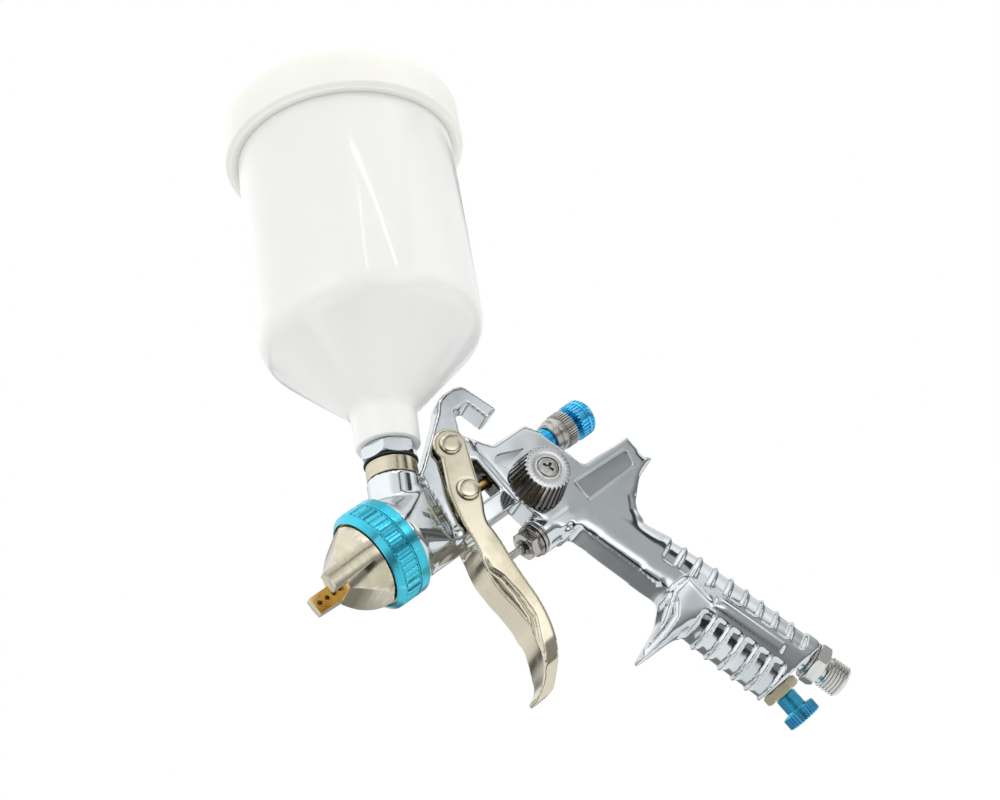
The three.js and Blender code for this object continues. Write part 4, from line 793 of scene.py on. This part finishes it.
def makeCapRing():
    low, high = ringSizes["knurl"]
    outer, groove, bore = ringSizes["radius"], ringSizes["groove"], ringSizes["bore"]
    ring = turned("airCapRing", section([
        (ringSizes["rear"], bore), (ringSizes["rear"], outer, 0.5), (high + 0.5, outer, 0.25),
        (high + 0.3, groove, 0.1), (high, groove), (high - 0.35, outer - 0.2), (high - 0.8, outer),
        (low + 0.8, outer), (low + 0.35, outer - 0.2), (low, groove), (low - 0.3, groove, 0.1),
        (low - 0.4, outer, 0.3), (-12.0, 17.9, 0.4), (ringSizes["front"], 17.5), (-10.3, ringSizes["mouth"]),
        (-10.3, bore),
    ], 3), sprayAxis, 6 * ringSizes["ribs"], [(low, high, ringSizes["ribs"], 0.42, outer - groove, 19.5)])
    done(ring, turquoiseSpray, "turquoise", "air_cap_ring", "air_cap_ring", smooth=30)
    clip = ringOf("capSnapRing", -11.25, -10.55, 16.45, 17.2, 0.15, sprayAxis, 160, 2)
    done(clip, brassSpray, "brass", "air_cap", "cap_snap_ring")


makeCapRing()


# air cap: turned cone with milled flanks, two horns and the brass-lined middle
capSizes = {"flange": -10, "face": -26, "tip": -33.4, "hornHalf": 3.6, "hornInner": 9.4, "radius": 16.7,
            "flanks": [(1, 0.216), (0.75, 0.216), (0.64, 0.377), (0.53, 0.54), (0.43, 0.67), (0.3, 0.81),
                       (0.17, 0.93), (0.1, 1)]}


def makeAirCap():
    radius, tip, half = capSizes["radius"], capSizes["tip"], capSizes["hornHalf"]
    cone = turned("airCap", [
        (-26, 2.3), (-26, 8.9), (-25.7, 9.4), (-24, 11.3), (-21.5, 13.6), (-19, 15.2), (-17, 16.1), (-14.6, 16.7),
        (-10, 16.7), (-10, 18), (-8, 18),
    ], sprayAxis, 160)
    reach = capSizes["flange"] - tip
    side = [(capSizes["flange"] - along * reach, across * radius) for along, across in capSizes["flanks"]]
    outline = side + [(-7, 20), (-7, -20)] + [(x, -z) for x, z in reversed(side)]
    combine(cone, plate("flank", outline, -20, 20), "INTERSECT")
    horns = turned("horns", [(tip, 13.6), (tip + 0.6, 14.2), (-17, radius), (-16.9, radius - 0.3)], sprayAxis, 160)
    web = block("web", (2 * half, 40, 20), axisAt("spray", -24, 0, 0))
    combine(horns, web, "INTERSECT")
    combine(cone, horns, "UNION")
    combine(cone, block("between", (40, 2 * capSizes["hornInner"], 10), axisAt("spray", -31, 0, 0)), "DIFFERENCE")
    inner = turned("chamber", [(-23.8, 4.8), (-17, 12.3), (-7, 12.3)], sprayAxis, 96)
    combine(cone, inner, "DIFFERENCE")
    bored(cone, -40, -7, 2.3, sprayAxis)
    for share in (0.3, 0.78):
        x = tip + (capSizes["face"] - tip) * share
        for turn in ("left", "right"):
            combine(cone, turned("jet", [(7, 1), (11.8, 1)], axisAt(turn, x, 0, 0), 32), "DIFFERENCE")
    groove = turned("groove", section([(-11.4, 18.4), (-11.4, 16.25), (-10.4, 16.25), (-10.4, 18.4)], 1),
                    sprayAxis, 160)
    combine(cone, groove, "DIFFERENCE")
    softened(cone, 0.16, 2, 30)
    capFinish = finish("nickel cap with brass inside", nickelLook, sprayAxis)
    done(cone, overlaid(capFinish, brassLook["colour"], betweenHorns), "nickel", "air_cap", "air_cap", smooth=32)


# nickel outside and bare brass between the horns
def betweenHorns(tree, place):
    edge = spot(capSizes["face"] + 0.2, capSizes["hornInner"] + 0.1, 0)
    ahead = calc(tree, "LESS_THAN", place["X"], edge.x)
    return times(tree, ahead, calc(tree, "LESS_THAN", calc(tree, "ABSOLUTE", place["Y"]), edge.y))


makeAirCap()


# fluid nozzle: its tip stands in the cap's centre hole
def makeNozzle():
    tip = turned("fluidNozzle", section([
        (-26.3, 0.8), (-26.3, 1.6), (-26.15, 1.75), (-23.9, 1.75), (-16.3, 6, 0.5), (-10, 6, 0.2), (-10, 7.4, 0.2),
        (-7.3, 7.4, 0.2), (-7.3, 5.8, 0.2), (3, 5.8, 0.3), (3, 3), (-20.8, 3), (-25.2, 0.8),
    ], 2), sprayAxis, 64)
    done(tip, brassSpray, "brass", "gun", "fluid_nozzle")


makeNozzle()


# cup joint: collar, seal line and bright nut
def makeCupJoint():
    collar = turned("cupCollar", section([(24.6, 8), (24.6, 10, 0.3), (31, 10, 0.4), (31, 8)], 3), cupAxis, 120)
    done(collar, nickelCup, "nickel", "gun", "cup_collar")
    seal = ringOf("cupSeal", 31.3, 32.1, 8, 10.6, 0.3, cupAxis)
    done(seal, finishes["rubber"], "rubber", "cup", "cup_seal")
    nut = hexNut("cupNut", 32.4, 38.4, 19.6, cupAxis, math.radians(33), 1.3)
    stem = turned("stem", [(13.3, 7.4), (13.6, 7.7), (33, 7.7), (33.1, 9.4), (49.6, 9.4), (50.4, 8.8)], cupAxis, 96)
    combine(nut, stem, "UNION")
    bored(nut, 12, 52, 5.6, cupAxis)
    done(nut, finishes["hex_chrome"], "hex_chrome", "cup", "cup_nut", smooth=25)


makeCupJoint()


cupSizes = {"neckFoot": 38.7, "neckTop": 53.7, "coneTop": 85.1, "radius": 44.9, "rim": 45.6, "top": 186,
            "wall": 2, "beads": (177.5, 181.5)}
lidSizes = {"foot": 175.6, "footRadius": 48.3, "step": 177.5, "radius": 50.35, "top": 194.5, "inner": 46.6, "lip": 45,
            "hole": 2.5, "waves": 26}


def makeCup():
    radius, wall, rim = cupSizes["radius"], cupSizes["wall"], cupSizes["rim"]
    outer = [(cupSizes["neckFoot"], 9.7), (cupSizes["neckFoot"], 12.5, 0.7), (cupSizes["neckTop"], 13, 3),
             (cupSizes["coneTop"] + 0.3, radius, 6.5)]
    for bead in cupSizes["beads"]:
        outer += [(bead, rim - 0.3, 0.3), (bead + 0.8, rim + 0.6, 0.6), (bead + 1.6, rim - 0.3, 0.3)]
    outer += [(cupSizes["top"], rim, 0.6), (cupSizes["top"], rim - wall, 0.6),
              (cupSizes["coneTop"] + 1.3, radius - wall, 6.5), (cupSizes["neckTop"] + 2.2, 9.7, 2)]
    cup = turned("cup", section(outer, 8), cupAxis, 180)
    done(cup, finishes["cup_plastic"], "cup_plastic", "cup", "cup", smooth=50)


def makeLid():
    size = lidSizes
    lid = turned("lid", section([
        (size["step"] - 0.2, size["inner"]), (size["step"] - 0.2, size["lip"]), (size["foot"], size["lip"]),
        (size["foot"], size["footRadius"], 0.6),
        (size["step"] - 0.9, size["footRadius"] + 0.2, 0.5), (size["step"], size["radius"], 0.6),
        (size["top"], size["radius"], 1.8), (size["top"], 24, 0.5), (size["top"] - 0.5, 22, 0.5),
        (size["top"] - 0.5, size["hole"]), (size["top"] - 2, size["hole"]),
        (size["top"] - 2, size["inner"]),
    ], 6), cupAxis, 216, [(size["step"] + 0.5, size["top"] - 1.5, size["waves"], 0.5, 0.18, 49)])
    applied(lid, "SMOOTH", factor=0.5, iterations=2)
    done(lid, finishes["lid_plastic"], "lid_plastic", "lid", "lid", smooth=50)
    top = size["top"]
    plug = turned("lidVentPlug", [
        (top - 5, 1.6), (top - 4.4, 2.2), (top + 0.3, 2.2), (top + 0.3, 4.8), (top + 0.6, 5), (top + 1.3, 4.9),
        (top + 1.9, 4.2), (top + 2.2, 3), (top + 2.3, 1.4),
    ], cupAxis, 64)
    done(plug, finishes["seal_plastic"], "seal_plastic", "vent_plug", "lid_vent_plug")


makeCup()
makeLid()


# trigger: a pressed channel, open behind, whose sides stand on both sides of the window
triggerSizes = {
    "half": 8.7, "sheet": 1.5, "pivot": (44, 18.5), "head": 7, "webTop": -18.6, "webX": 24.6, "tip": (4.5, -78),
    "tipHalf": 4, "voxel": 0.42, "smoothing": 9,
    "front": [(0, 0), (0.19, 0.17), (0.235, 0.34), (0.19, 0.5), (0.25, 0.66), (0.43, 0.82), (0.68, 0.93)],
    "rear": [(-0.48, 0), (-0.45, 0.1), (-0.38, 0.22), (-0.33, 0.36), (-0.28, 0.54), (-0.13, 0.7), (0.08, 0.83),
             (0.38, 0.94)],
    "taper": (0.04, 0.13, 0.25),
    "crease": [(26.2, -15.6), (22.3, -29.6), (24, -34.6), (24.3, -43.7), (23.3, -52.7), (18.7, -60.2), (16.3, -65.6)],
    "press": {"groove": 1.7, "lean": 1.8, "over": 5},
}


# the press mark along the trigger's sides: a crease, with the sheet rounding over to the front ahead of it
def crease(piece):
    line, press = triggerSizes["crease"], triggerSizes["press"]
    for vertex in piece.data.vertices:
        x, y, z = vertex.co / mm + hookSeat
        if abs(y) < 3.5 or not -67 < z < -24:
            continue
        ahead = -fromLine(line, x, z)
        fade = min((z + 67) / 6, (-24 - z) / 8, 1)
        groove = max(0, 1 - (ahead / (0.7 + 0.5 * within((-35 - z) / 15))) ** 2)
        over = within(ahead / press["over"])
        side = within((abs(y) - 3.5) / 4)
        vertex.co.y -= math.copysign(fade * side * (press["groove"] * groove + press["lean"] * over), y) * mm
    piece.data.update()


def makeTrigger():
    size = triggerSizes
    half, sheet = size["half"], size["sheet"]
    webX, webTop = size["webX"], size["webTop"]
    tipX, tipZ = size["tip"]
    pivotX, pivotZ = size["pivot"]

    def station(share):
        return (webX - share[0] * (webX - tipX), webTop - share[1] * (webTop - tipZ), 6)

    front = [station(share) for share in size["front"]]
    rear = [station(share) for share in reversed(size["rear"])]
    upperRear = [(34.4, -13.6, 4), (40.5, -5, 3), (45.5, 6, 3)]
    upperFront = [(29.6, 3, 4), (26.1, -9, 3)]
    arc = []
    for k in range(21):
        angle = 2 * math.pi * (-0.075 + 0.625 * k / 20)
        arc.append((pivotX + size["head"] * math.cos(angle), pivotZ + size["head"] * math.sin(angle)))
    outline = front + [(tipX, tipZ + sheet), (tipX, tipZ), (tipX + 2 * size["tipHalf"], tipZ, 1)]
    outline += rear + upperRear + arc + upperFront
    trigger = plate("trigger", outline, -half, half)
    inner = [(x + sheet, z, 5) for x, z, _ in front]
    hollow = plate("hollow", [(inner[0][0], 26)] + inner + [(52, inner[-1][1]), (52, 26)], sheet - half, half - sheet)
    throat = plate("throat", [(tipX, webTop), (52, webTop), (52, 26.5), (tipX, 26.5)], sheet - half, half - sheet)
    combine(hollow, throat, "UNION")
    first, middle, last = size["taper"]
    span = webTop - tipZ
    rows = [(tipZ - 1, size["tipHalf"] - 0.5), (tipZ + span * first, size["tipHalf"] + 1),
            (tipZ + span * middle, half - 1), (tipZ + span * last, half), (pivotZ + 9, half)]
    tools = []
    for less in (0, sheet):
        side = rows + [(z, -breadth) for z, breadth in reversed(rows)]
        funnel = plate("funnel", [(z, abs(breadth) - less if breadth > 0 else less - abs(breadth))
                                  for z, breadth in side], -40, 80)
        # the outline was drawn as height and breadth: it is turned into z and y here
        for vertex in funnel.data.vertices:
            here = vertex.co / mm + hookSeat
            vertex.co = spot(here.y, here.z, here.x)
        tools.append(outward(funnel))
    combine(trigger, tools[0], "INTERSECT")
    combine(hollow, tools[1], "INTERSECT")
    combine(trigger, hollow, "DIFFERENCE")
    combine(trigger, turned("hole", [(-12, 3.3), (12, 3.3)], pivotLeft, 48), "DIFFERENCE")
    combine(trigger, turned("hole", [(-12, 3.8), (12, 3.8)], pullLeft, 48), "DIFFERENCE")
    applied(trigger, "REMESH", mode="VOXEL", voxel_size=size["voxel"] * mm)
    applied(trigger, "SMOOTH", factor=0.5, iterations=size["smoothing"])
    crease(trigger)
    applied(trigger, "SMOOTH", factor=0.5, iterations=3)
    done(trigger, finishes["warm_nickel"], "warm_nickel", "trigger", "trigger", smooth=80, weighted=False)


makeTrigger()


# pins: domed heads on both sides of the trigger
pinHead = [(9, 4.2), (9.15, 4.4), (9.6, 4.35), (9.95, 4.05), (10.15, 3.3), (10.2, 1.5)]


def makePins():
    pin = turned("triggerPivotPin", [(-8.5, 1.8), (-8.7, 2), (-8.7, 3), (9, 3)] + pinHead, pivotLeft, 72)
    bored(pin, -9, 0, 1.8, pivotLeft, 32)
    done(pin, finishes["warm_nickel"], "warm_nickel", "gun", "trigger_pivot_pin")
    screw = turned("triggerPivotScrew", [(-0.3, 1.5), (9, 1.5)] + pinHead, pivotRight, 72)
    combine(screw, block("slot", (7, 1.1, 1), pivotRight @ Matrix.Translation((0, 0, 10.2 * mm))), "DIFFERENCE")
    softened(screw, 0.1, 2, 30)
    done(screw, finishes["warm_nickel"], "warm_nickel", "gun", "trigger_pivot_screw")
    pull = turned("needlePullPin", [(-height, radius) for height, radius in reversed(pinHead)]
                  + [(-9, 3.5), (9, 3.5)] + pinHead, pullLeft, 72)
    notch = block("notch", (10, 5, 10), Matrix.Translation(spot(37, 0, 5 - 2)))
    combine(pull, notch, "DIFFERENCE")
    done(pull, finishes["warm_nickel"], "warm_nickel", "trigger", "needle_pull_pin")


makePins()


# what shows in the window: the needle with its brass collar, and the packing nut
def makeNeedle():
    collar = turned("needleCollar", section([
        (40.8, 1.9), (40.8, 3.4, 0.4), (43, 3.4, 0.6), (43.2, 2.1, 0.2), (55, 2.1, 0.3), (55, 1.9),
    ], 3), sprayAxis, 64)
    done(collar, brassSpray, "brass", "needle", "needle_collar")
    nut = hexNut("packingNut", 29.6, 32.6, 8, sprayAxis, 0, 0.5)
    combine(nut, turned("shank", [(24.8, 3.6), (30, 3.6)], sprayAxis, 48), "UNION")
    bored(nut, 24, 34, 1.9, sprayAxis, 32)
    done(nut, brassSpray, "brass", "gun", "packing_nut", smooth=25)
    needle = turned("fluidNeedle", [
        (-25.9, 0.4), (-24.8, 0.4), (-20.5, 1.6), (60, 1.6), (60, 3.6), (60.2, 3.8), (61.6, 3.8), (61.8, 3.6),
        (61.8, 1.6), (71.6, 1.6), (72, 1.2),
    ], sprayAxis, 32)
    done(needle, steelSpray, "steel", "needle", "fluid_needle")


makeNeedle()


# air valve below the window: hex gland, washer and the rod that the trigger pushes
def makeValve():
    gland = hexNut("airValveNut", 44.3, 48.4, 11, valveAxis, math.radians(12), 0.9)
    flange = turned("flange", [
        (47.8, 6.3), (48.1, 6.6), (49.3, 6.6), (49.5, 6.4), (49.5, 4.9), (55.4, 4.9),
    ], valveAxis, 96)
    combine(gland, flange, "UNION")
    bored(gland, 44, 56, 1.8, valveAxis, 40)
    mouth = turned("mouth", [(44.2, 3.2), (44.9, 2.4), (45.4, 1.7)], valveAxis, 48)
    combine(gland, mouth, "DIFFERENCE")
    done(gland, darkValve, "dark_steel", "gun", "air_valve_nut", smooth=25)
    washer = ringOf("valveWasher", 49.8, 51.3, 5.2, 7.1, 0.4, valveAxis)
    done(washer, steelValve, "steel", "gun", "valve_washer")
    rod = turned("airValveRod", [
        (22.9, 0.7), (23.2, 1.15), (23.9, 1.5), (60, 1.5), (60, 3.6), (60.2, 3.8), (62.4, 3.8), (62.6, 3.6),
    ], valveAxis, 40)
    done(rod, steelValve, "steel", "air_valve", "air_valve_rod")


makeValve()


# fan knob: fluted cone with a bright face and a cross-slot screw
fanSizes = {"foot": 7.5, "top": 21.1, "base": 11.5, "face": 9.25, "flutes": 30, "depth": 0.85}


def makeFanKnob():
    size = fanSizes
    top, face = size["top"], size["face"]
    knob = turned("fanKnob", section([
        (19.9, 2), (19.9, 4.4), (top - 0.1, 4.4, 0.1), (top - 0.1, 5.2, 0.1), (top - 0.35, 5.3), (top - 0.35, 5.6),
        (top - 0.1, 5.7, 0.1), (top - 0.1, face - 0.35), (top - 0.4, face), (size["foot"] + 0.6, size["base"]),
        (size["foot"], size["base"] - 0.3), (size["foot"], 7.1), (11.9, 7.1), (11.9, 2.7), (19.2, 2.7), (19.2, 2),
    ], 2), fanAxis, 300, [(size["foot"] - 0.1, top - 0.35, size["flutes"], 0.5, size["depth"], 8.8)])
    softened(knob, 0.12, 2, 28)
    fanFinish = overlaid(finish("dark steel knob", darkLook, fanAxis), "c9cbcc", onFace)
    done(knob, fanFinish, "dark_steel", "fan_knob", "fan_knob", smooth=30)
    ring = ringOf("fanRing", 7.15, 8.55, 2.7, 4.6, 0.5, fanAxis, 64, 4)
    done(ring, finishes["rubber"], "rubber", "gun", "fan_o_ring")
    screw = turned("fanKnobScrew", [
        (14.2, 1.3), (14.4, 1.5), (20.2, 1.5), (20.2, 3.9), (20.35, 4.1), (20.8, 4.05), (21.02, 3.6), (21.1, 2),
    ], fanAxis, 72)
    for turn in (0.35, 0.35 + math.pi / 2):
        lay = fanAxis @ Matrix.Translation((0, 0, top * mm)) @ Matrix.Rotation(turn, 4, "Z")
        cross = block("cross", (4.6, 1.1, 2.6), lay)
        combine(screw, cross, "DIFFERENCE")
    softened(screw, 0.1, 2, 30)
    done(screw, steelFan, "steel", "fan_knob", "fan_knob_screw", smooth=30)


# dark in the flutes, bright on the face
def onFace(tree, place):
    return ranged(tree, place["Y"], (-fanSizes["top"] + 0.9) * mm, (-fanSizes["top"] + 0.6) * mm)


makeFanKnob()


# fluid control: blue threaded stem and knob, nickel lock nut
fluidSizes = {"start": 69, "thread": (79.5, 85), "radius": 5.1, "pitch": 1.0, "knob": 98.6, "end": 107,
              "knobRadius": 7.7, "ribs": 30, "nut": 85.3, "nutEnd": 95.9, "nutRibs": 44}


def makeFluidControl():
    size = fluidSizes
    knob, end, radius = size["knob"], size["end"], size["knobRadius"]
    stem = [(95, 4.2), (size["start"], 4.2), (size["start"], 4.8), (size["start"] + 0.3, size["radius"])]
    stem += threadRows(*size["thread"], size["radius"], 0.55, size["pitch"])
    stem += [(85.2, size["radius"]), (96.7, size["radius"]), (97, 4.6), (knob, 4.6), (knob, 6.9)]
    stem += [(knob + 0.4, radius), (knob + 3.6, radius), (knob + 3.75, radius - 0.35), (knob + 3.9, radius - 0.35),
             (knob + 4.05, radius), (knob + 4.8, radius), (knob + 4.95, radius - 0.35), (knob + 5.1, radius - 0.35),
             (knob + 5.25, radius), (knob + 6.4, radius - 0.1), (knob + 7.3, radius - 0.7), (end - 0.4, radius - 1.4),
             (end - 0.1, radius - 2), (end, radius - 2.8), (end, 0.8)]
    piece = turned("fluidKnob", stem, sprayAxis, 240, [
        (knob + 0.1, knob + 3.65, size["ribs"], 0.42, 0.65, 6), (knob + 5.2, end - 0.3, size["ribs"], 0.42, 0.65, 6),
    ])
    done(piece, blueSpray, "blue", "fluid_knob", "fluid_knob", smooth=30)
    nut, nutEnd = size["nut"], size["nutEnd"]
    lock = turned("fluidLockNut", section([
        (nut, 5.4), (nut, 6.2, 0.5), (nut + 0.8, 6.45, 0.4), (nut + 2.4, 6.45, 0.3), (nut + 3, 7.1, 0.4),
        (nut + 5, 7.15, 0.2), (nut + 5.15, 6.6, 0.1), (nut + 5.9, 6.6, 0.1), (nut + 6.1, 7.5, 0.1), (nutEnd - 0.2, 7.5),
        (nutEnd, 7.1), (nutEnd, 5.4),
    ], 3), sprayAxis, 264, [(nut + 6, nutEnd + 0.1, size["nutRibs"], 0.45, 0.7, 7.05)])
    done(lock, steelSpray, "nickel", "lock_nut", "fluid_lock_nut", smooth=30)


makeFluidControl()


# air control under the grip: hex bushing and blue finger knob
def makeAirControl():
    bush = hexNut("airControlBushing", 0.3, 4.3, 13, controlAxis, math.radians(8), 0.9)
    combine(bush, turned("shank", [(-9, 4.0), (-8.7, 4.3), (1, 4.3)], controlAxis, 64), "UNION")
    bored(bush, -10, 5, 2.7, controlAxis, 48)
    done(bush, nickelControl, "nickel", "gun", "air_control_bushing", smooth=25)
    knob = turned("airControlKnob", [
        (-38, 2.1), (-37.7, 2.4), (4.6, 2.4), (4.6, 3.8), (4.9, 4.2), (10.9, 4.2), (11.5, 4.8), (11.5, 6.4),
        (11.9, 7), (15.9, 7), (16.3, 6.5), (16.4, 6), (16.4, 1),
    ], controlAxis, 240, [(11.8, 16.1, 30, 0.38, 0.5, 6.3)])
    done(knob, blueControl, "blue", "air_control", "air_control_knob", smooth=30)


makeAirControl()


# air inlet: washer, hex and pipe thread
inletSizes = {"thread": (8.2, 16.5), "radius": 6.58, "depth": 0.75, "pitch": 1.34, "bore": 4.2, "hex": 15.4}


def makeInlet():
    washer = ringOf("inletWasher", 0.3, 1.3, 5.9, 7.8, 0.3, inletAxis)
    done(washer, finishes["steel"], "steel", "gun", "inlet_washer")
    size = inletSizes
    low, high = size["thread"]
    core = turned("airInletNipple", [(-8.7, 5.3), (-8.4, 5.6), (3, 5.6), (3.1, 5.8), (8, 5.8)]
                  + threadRows(low, high, size["radius"], size["depth"], size["pitch"])
                  + [(16.9, 5.5)], inletAxis, 128)
    combine(core, hexNut("hex", 1.6, 6.6, size["hex"], inletAxis, math.radians(20), 1.1), "UNION")
    bored(core, -10, 18, size["bore"], inletAxis)
    done(core, nickelInlet, "nickel", "gun", "air_inlet_nipple", smooth=28)


makeInlet()

# the photograph's angle
view = {"right": (0.7004, -0.3106, -0.6426), "down": (-0.456, 0.4979, -0.7377), "forward": (0.5491, 0.8097, 0.2071),
        "place": (-0.3311, -0.5172, -0.1375), "lens": 57.5}
cameraData = bpy.data.cameras.new("camera")
cameraData.lens = view["lens"]
cameraData.sensor_width = 36
cameraData.clip_start = 0.01
camera = bpy.data.objects.new("camera", cameraData)
bpy.context.scene.collection.objects.link(camera)
right, down, forward = (Vector(view[key]).normalized() for key in ("right", "down", "forward"))
rows = Matrix((right, -down, -forward)).transposed()
camera.matrix_world = Matrix.Translation(view["place"]) @ rows.to_4x4()
bpy.context.scene.camera = camera


def softbox(name, place, aim, size, power):
    data = bpy.data.lights.new(name, "AREA")
    data.shape = "RECTANGLE"
    data.size, data.size_y = size
    data.energy = power
    lamp = bpy.data.objects.new(name, data)
    bpy.context.scene.collection.objects.link(lamp)
    lamp.location = place
    lamp.rotation_euler = (Vector(aim) - Vector(place)).to_track_quat("-Z", "Y").to_euler()
    return lamp


boxes = {
    "key": ((-0.9, -0.9, 1.1), (0, 0, 0), (0.9, 0.7), 3.5),
    "fill": ((1.1, -0.8, 0.3), (0, 0, -0.05), (0.7, 1.0), 3.0),
    "back": ((0.3, 1.2, 0.9), (0, 0, 0), (1.2, 0.8), 5.0),
}
for name, (place, aim, size, power) in boxes.items():
    softbox(name, place, aim, size, power)


# share of the direct rays, which show the studio itself
def directRays(tree):
    path = addNode(tree, "ShaderNodeLightPath").outputs
    return calc(tree, "MAXIMUM", path["Is Camera Ray"],
                calc(tree, "MAXIMUM", path["Is Glossy Ray"], path["Is Transmission Ray"]))


def glowing(tree, kind, colour, strength):
    node = addNode(tree, kind)
    node.inputs["Color"].default_value = (*colour, 1)
    node.inputs["Strength"].default_value = strength
    return node.outputs[0]


def mixedSurface(tree, share, first, second, out):
    choice = addNode(tree, "ShaderNodeMixShader")
    for socket, value in zip(choice.inputs, (share, first, second)):
        tree.links.new(value, socket)
    tree.links.new(choice.outputs[0], out.inputs["Surface"])


white = (1, 1, 1)
world = bpy.data.worlds.new("studio")
bpy.context.scene.world = world
world.use_nodes = True
tree = world.node_tree
tree.nodes.clear()
mixedSurface(tree, directRays(tree), glowing(tree, "ShaderNodeBackground", (1, 1, 0.99), 0.9),
             glowing(tree, "ShaderNodeBackground", white, 1.0), addNode(tree, "ShaderNodeOutputWorld"))

# floor: white where it is seen, with the gun's own soft shadow
floorSizes = {"half": 6.0, "height": -0.3, "seen": 0.86, "glow": 1.04}
deselectAll()
bpy.ops.mesh.primitive_plane_add(size=2 * floorSizes["half"], location=(0, 0, floorSizes["height"]))
floor = bpy.context.object
floor.name = "floor"
material, tree, shader = newMaterial("pale floor")
shader.inputs["Base Color"].default_value = (0.9, 0.9, 0.9, 1)
shader.inputs["Roughness"].default_value = 0.9
mixedSurface(tree, times(tree, directRays(tree), floorSizes["seen"]), shader.outputs[0],
             glowing(tree, "ShaderNodeEmission", white, floorSizes["glow"]), tree.nodes["Material Output"])
floor.data.materials.append(material)

# studio dome, seen only in shiny surfaces: white boxes with dark flags between them
# round: share of a turn, clockwise from the backdrop, and level; rise: share of the height and level
domeSizes = {"radius": 0.6, "wobble": 0.05, "lift": 0.12, "peak": 2.0, "least": 0.02}
domeRound = [
    (0.0, 0.9), (0.13, 0.9), (0.15, 0.4), (0.2, 0.4), (0.215, 0.04), (0.255, 0.04), (0.268, 1.25), (0.385, 1.25),
    (0.4, 0.1), (0.435, 0.1), (0.45, 0.75), (0.52, 0.75), (0.535, 0.05), (0.575, 0.05), (0.59, 1.2), (0.685, 1.3),
    (0.7, 1.9), (0.727, 1.8), (0.76, 1.45), (0.771, 0.5), (0.8, 0.55), (0.812, 0.02), (0.85, 0.02), (0.862, 1.2),
    (0.9, 1.2), (0.925, 0.9),
]
domeRise = [
    (0.0, 0.2), (0.25, 0.25), (0.42, 0.6), (0.57, 1.2), (0.66, 0.9), (0.69, 0.85), (0.705, 0.03), (0.74, 0.03),
    (0.755, 0.95), (0.86, 1.0), (0.93, 1.35), (1.0, 1.35),
]
lowFlag = {"way": (-0.4, -0.8, -0.42), "start": 0.93, "full": 0.96, "level": 0.03}
domeStreaks = {
    "grain": 90.0, "ragged": 0.022, "edge": 0.024, "core": 0.014, "fade": 0.3, "level": 9.0,
    "list": [  # middle of the streak, normal of its plane, half length as a dot product
        ((0.325, -0.785, 0.53), (0.691, 0.579, 0.432), 0.975),
        ((0.125, -0.78, 0.612), (0.498, -0.484, -0.719), 0.998),
    ],
}


def rampOf(tree, value, stops):
    node = addNode(tree, "ShaderNodeValToRGB")
    ramp = node.color_ramp
    while len(ramp.elements) < len(stops):
        ramp.elements.new(0.5)
    for element, (position, _) in zip(ramp.elements, stops):
        element.position = position
    for element, (_, level) in zip(ramp.elements, stops):
        element.color = (*[level / domeSizes["peak"]] * 3, 1)
    tree.links.new(value, node.inputs[0])
    return times(tree, node.outputs[0], domeSizes["peak"])


deselectAll()
bpy.ops.mesh.primitive_uv_sphere_add(segments=64, ring_count=32, radius=domeSizes["radius"])
dome = bpy.context.object
dome.name = "studioDome"
material, tree, shader = newMaterial("studio dome")
tree.nodes.remove(shader)
normalized = addNode(tree, "ShaderNodeVectorMath", operation="NORMALIZE")
tree.links.new(objectPlace(tree), normalized.inputs[0])
unit = normalized.outputs["Vector"]


def dotWith(way):
    node = addNode(tree, "ShaderNodeVectorMath", operation="DOT_PRODUCT")
    tree.links.new(unit, node.inputs[0])
    node.inputs[1].default_value = Vector(way).normalized()
    return node.outputs["Value"]


away = Vector((view["forward"][0], view["forward"][1], 0)).normalized()
angle = calc(tree, "ARCTAN2", dotWith((away.y, -away.x, 0)), dotWith(-away))
drift = calc(tree, "SUBTRACT", noiseOf(tree, unit, 2.6, 1.0), 0.5)
around = ranged(tree, angle, -math.pi, math.pi)
around = plus(tree, around, times(tree, drift, domeSizes["wobble"]))
risen = plus(tree, ranged(tree, separated(tree, unit)["Z"], -1.0, 1.0), times(tree, drift, domeSizes["lift"]))
level = rampOf(tree, around, domeRound)
steep = calc(tree, "MAXIMUM", ranged(tree, risen, 0.57, 0.64), ranged(tree, risen, 0.42, 0.35))
kept = times(tree, level, calc(tree, "SUBTRACT", 1.0, steep))
level = plus(tree, kept, times(tree, steep, rampOf(tree, risen, domeRise)))
share = ranged(tree, dotWith(lowFlag["way"]), lowFlag["start"], lowFlag["full"])
level = plus(tree, times(tree, level, calc(tree, "SUBTRACT", 1.0, share)), times(tree, share, lowFlag["level"]))
for middle, normal, ends in domeStreaks["list"]:
    ragged = times(tree, noiseOf(tree, unit, domeStreaks["grain"], 2.0), domeStreaks["ragged"])
    beside = plus(tree, calc(tree, "ABSOLUTE", dotWith(normal)), ragged)
    streak = times(tree, ranged(tree, beside, domeStreaks["edge"], domeStreaks["core"]),
                   ranged(tree, dotWith(middle), ends, ends + (1 - ends) * domeStreaks["fade"]))
    level = plus(tree, level, times(tree, streak, domeStreaks["level"]))
glow = glowing(tree, "ShaderNodeEmission", white, 1.0)
tree.links.new(calc(tree, "MAXIMUM", level, domeSizes["least"]), glow.node.inputs["Strength"])
tree.links.new(glow, tree.nodes["Material Output"].inputs["Surface"])
dome.data.materials.append(material)
for rays in ("camera", "diffuse", "shadow", "transmission"):
    setattr(dome, "visible_" + rays, False)

bpy.context.scene.view_settings.view_transform = "Standard"
print("camera, lights and floor made")
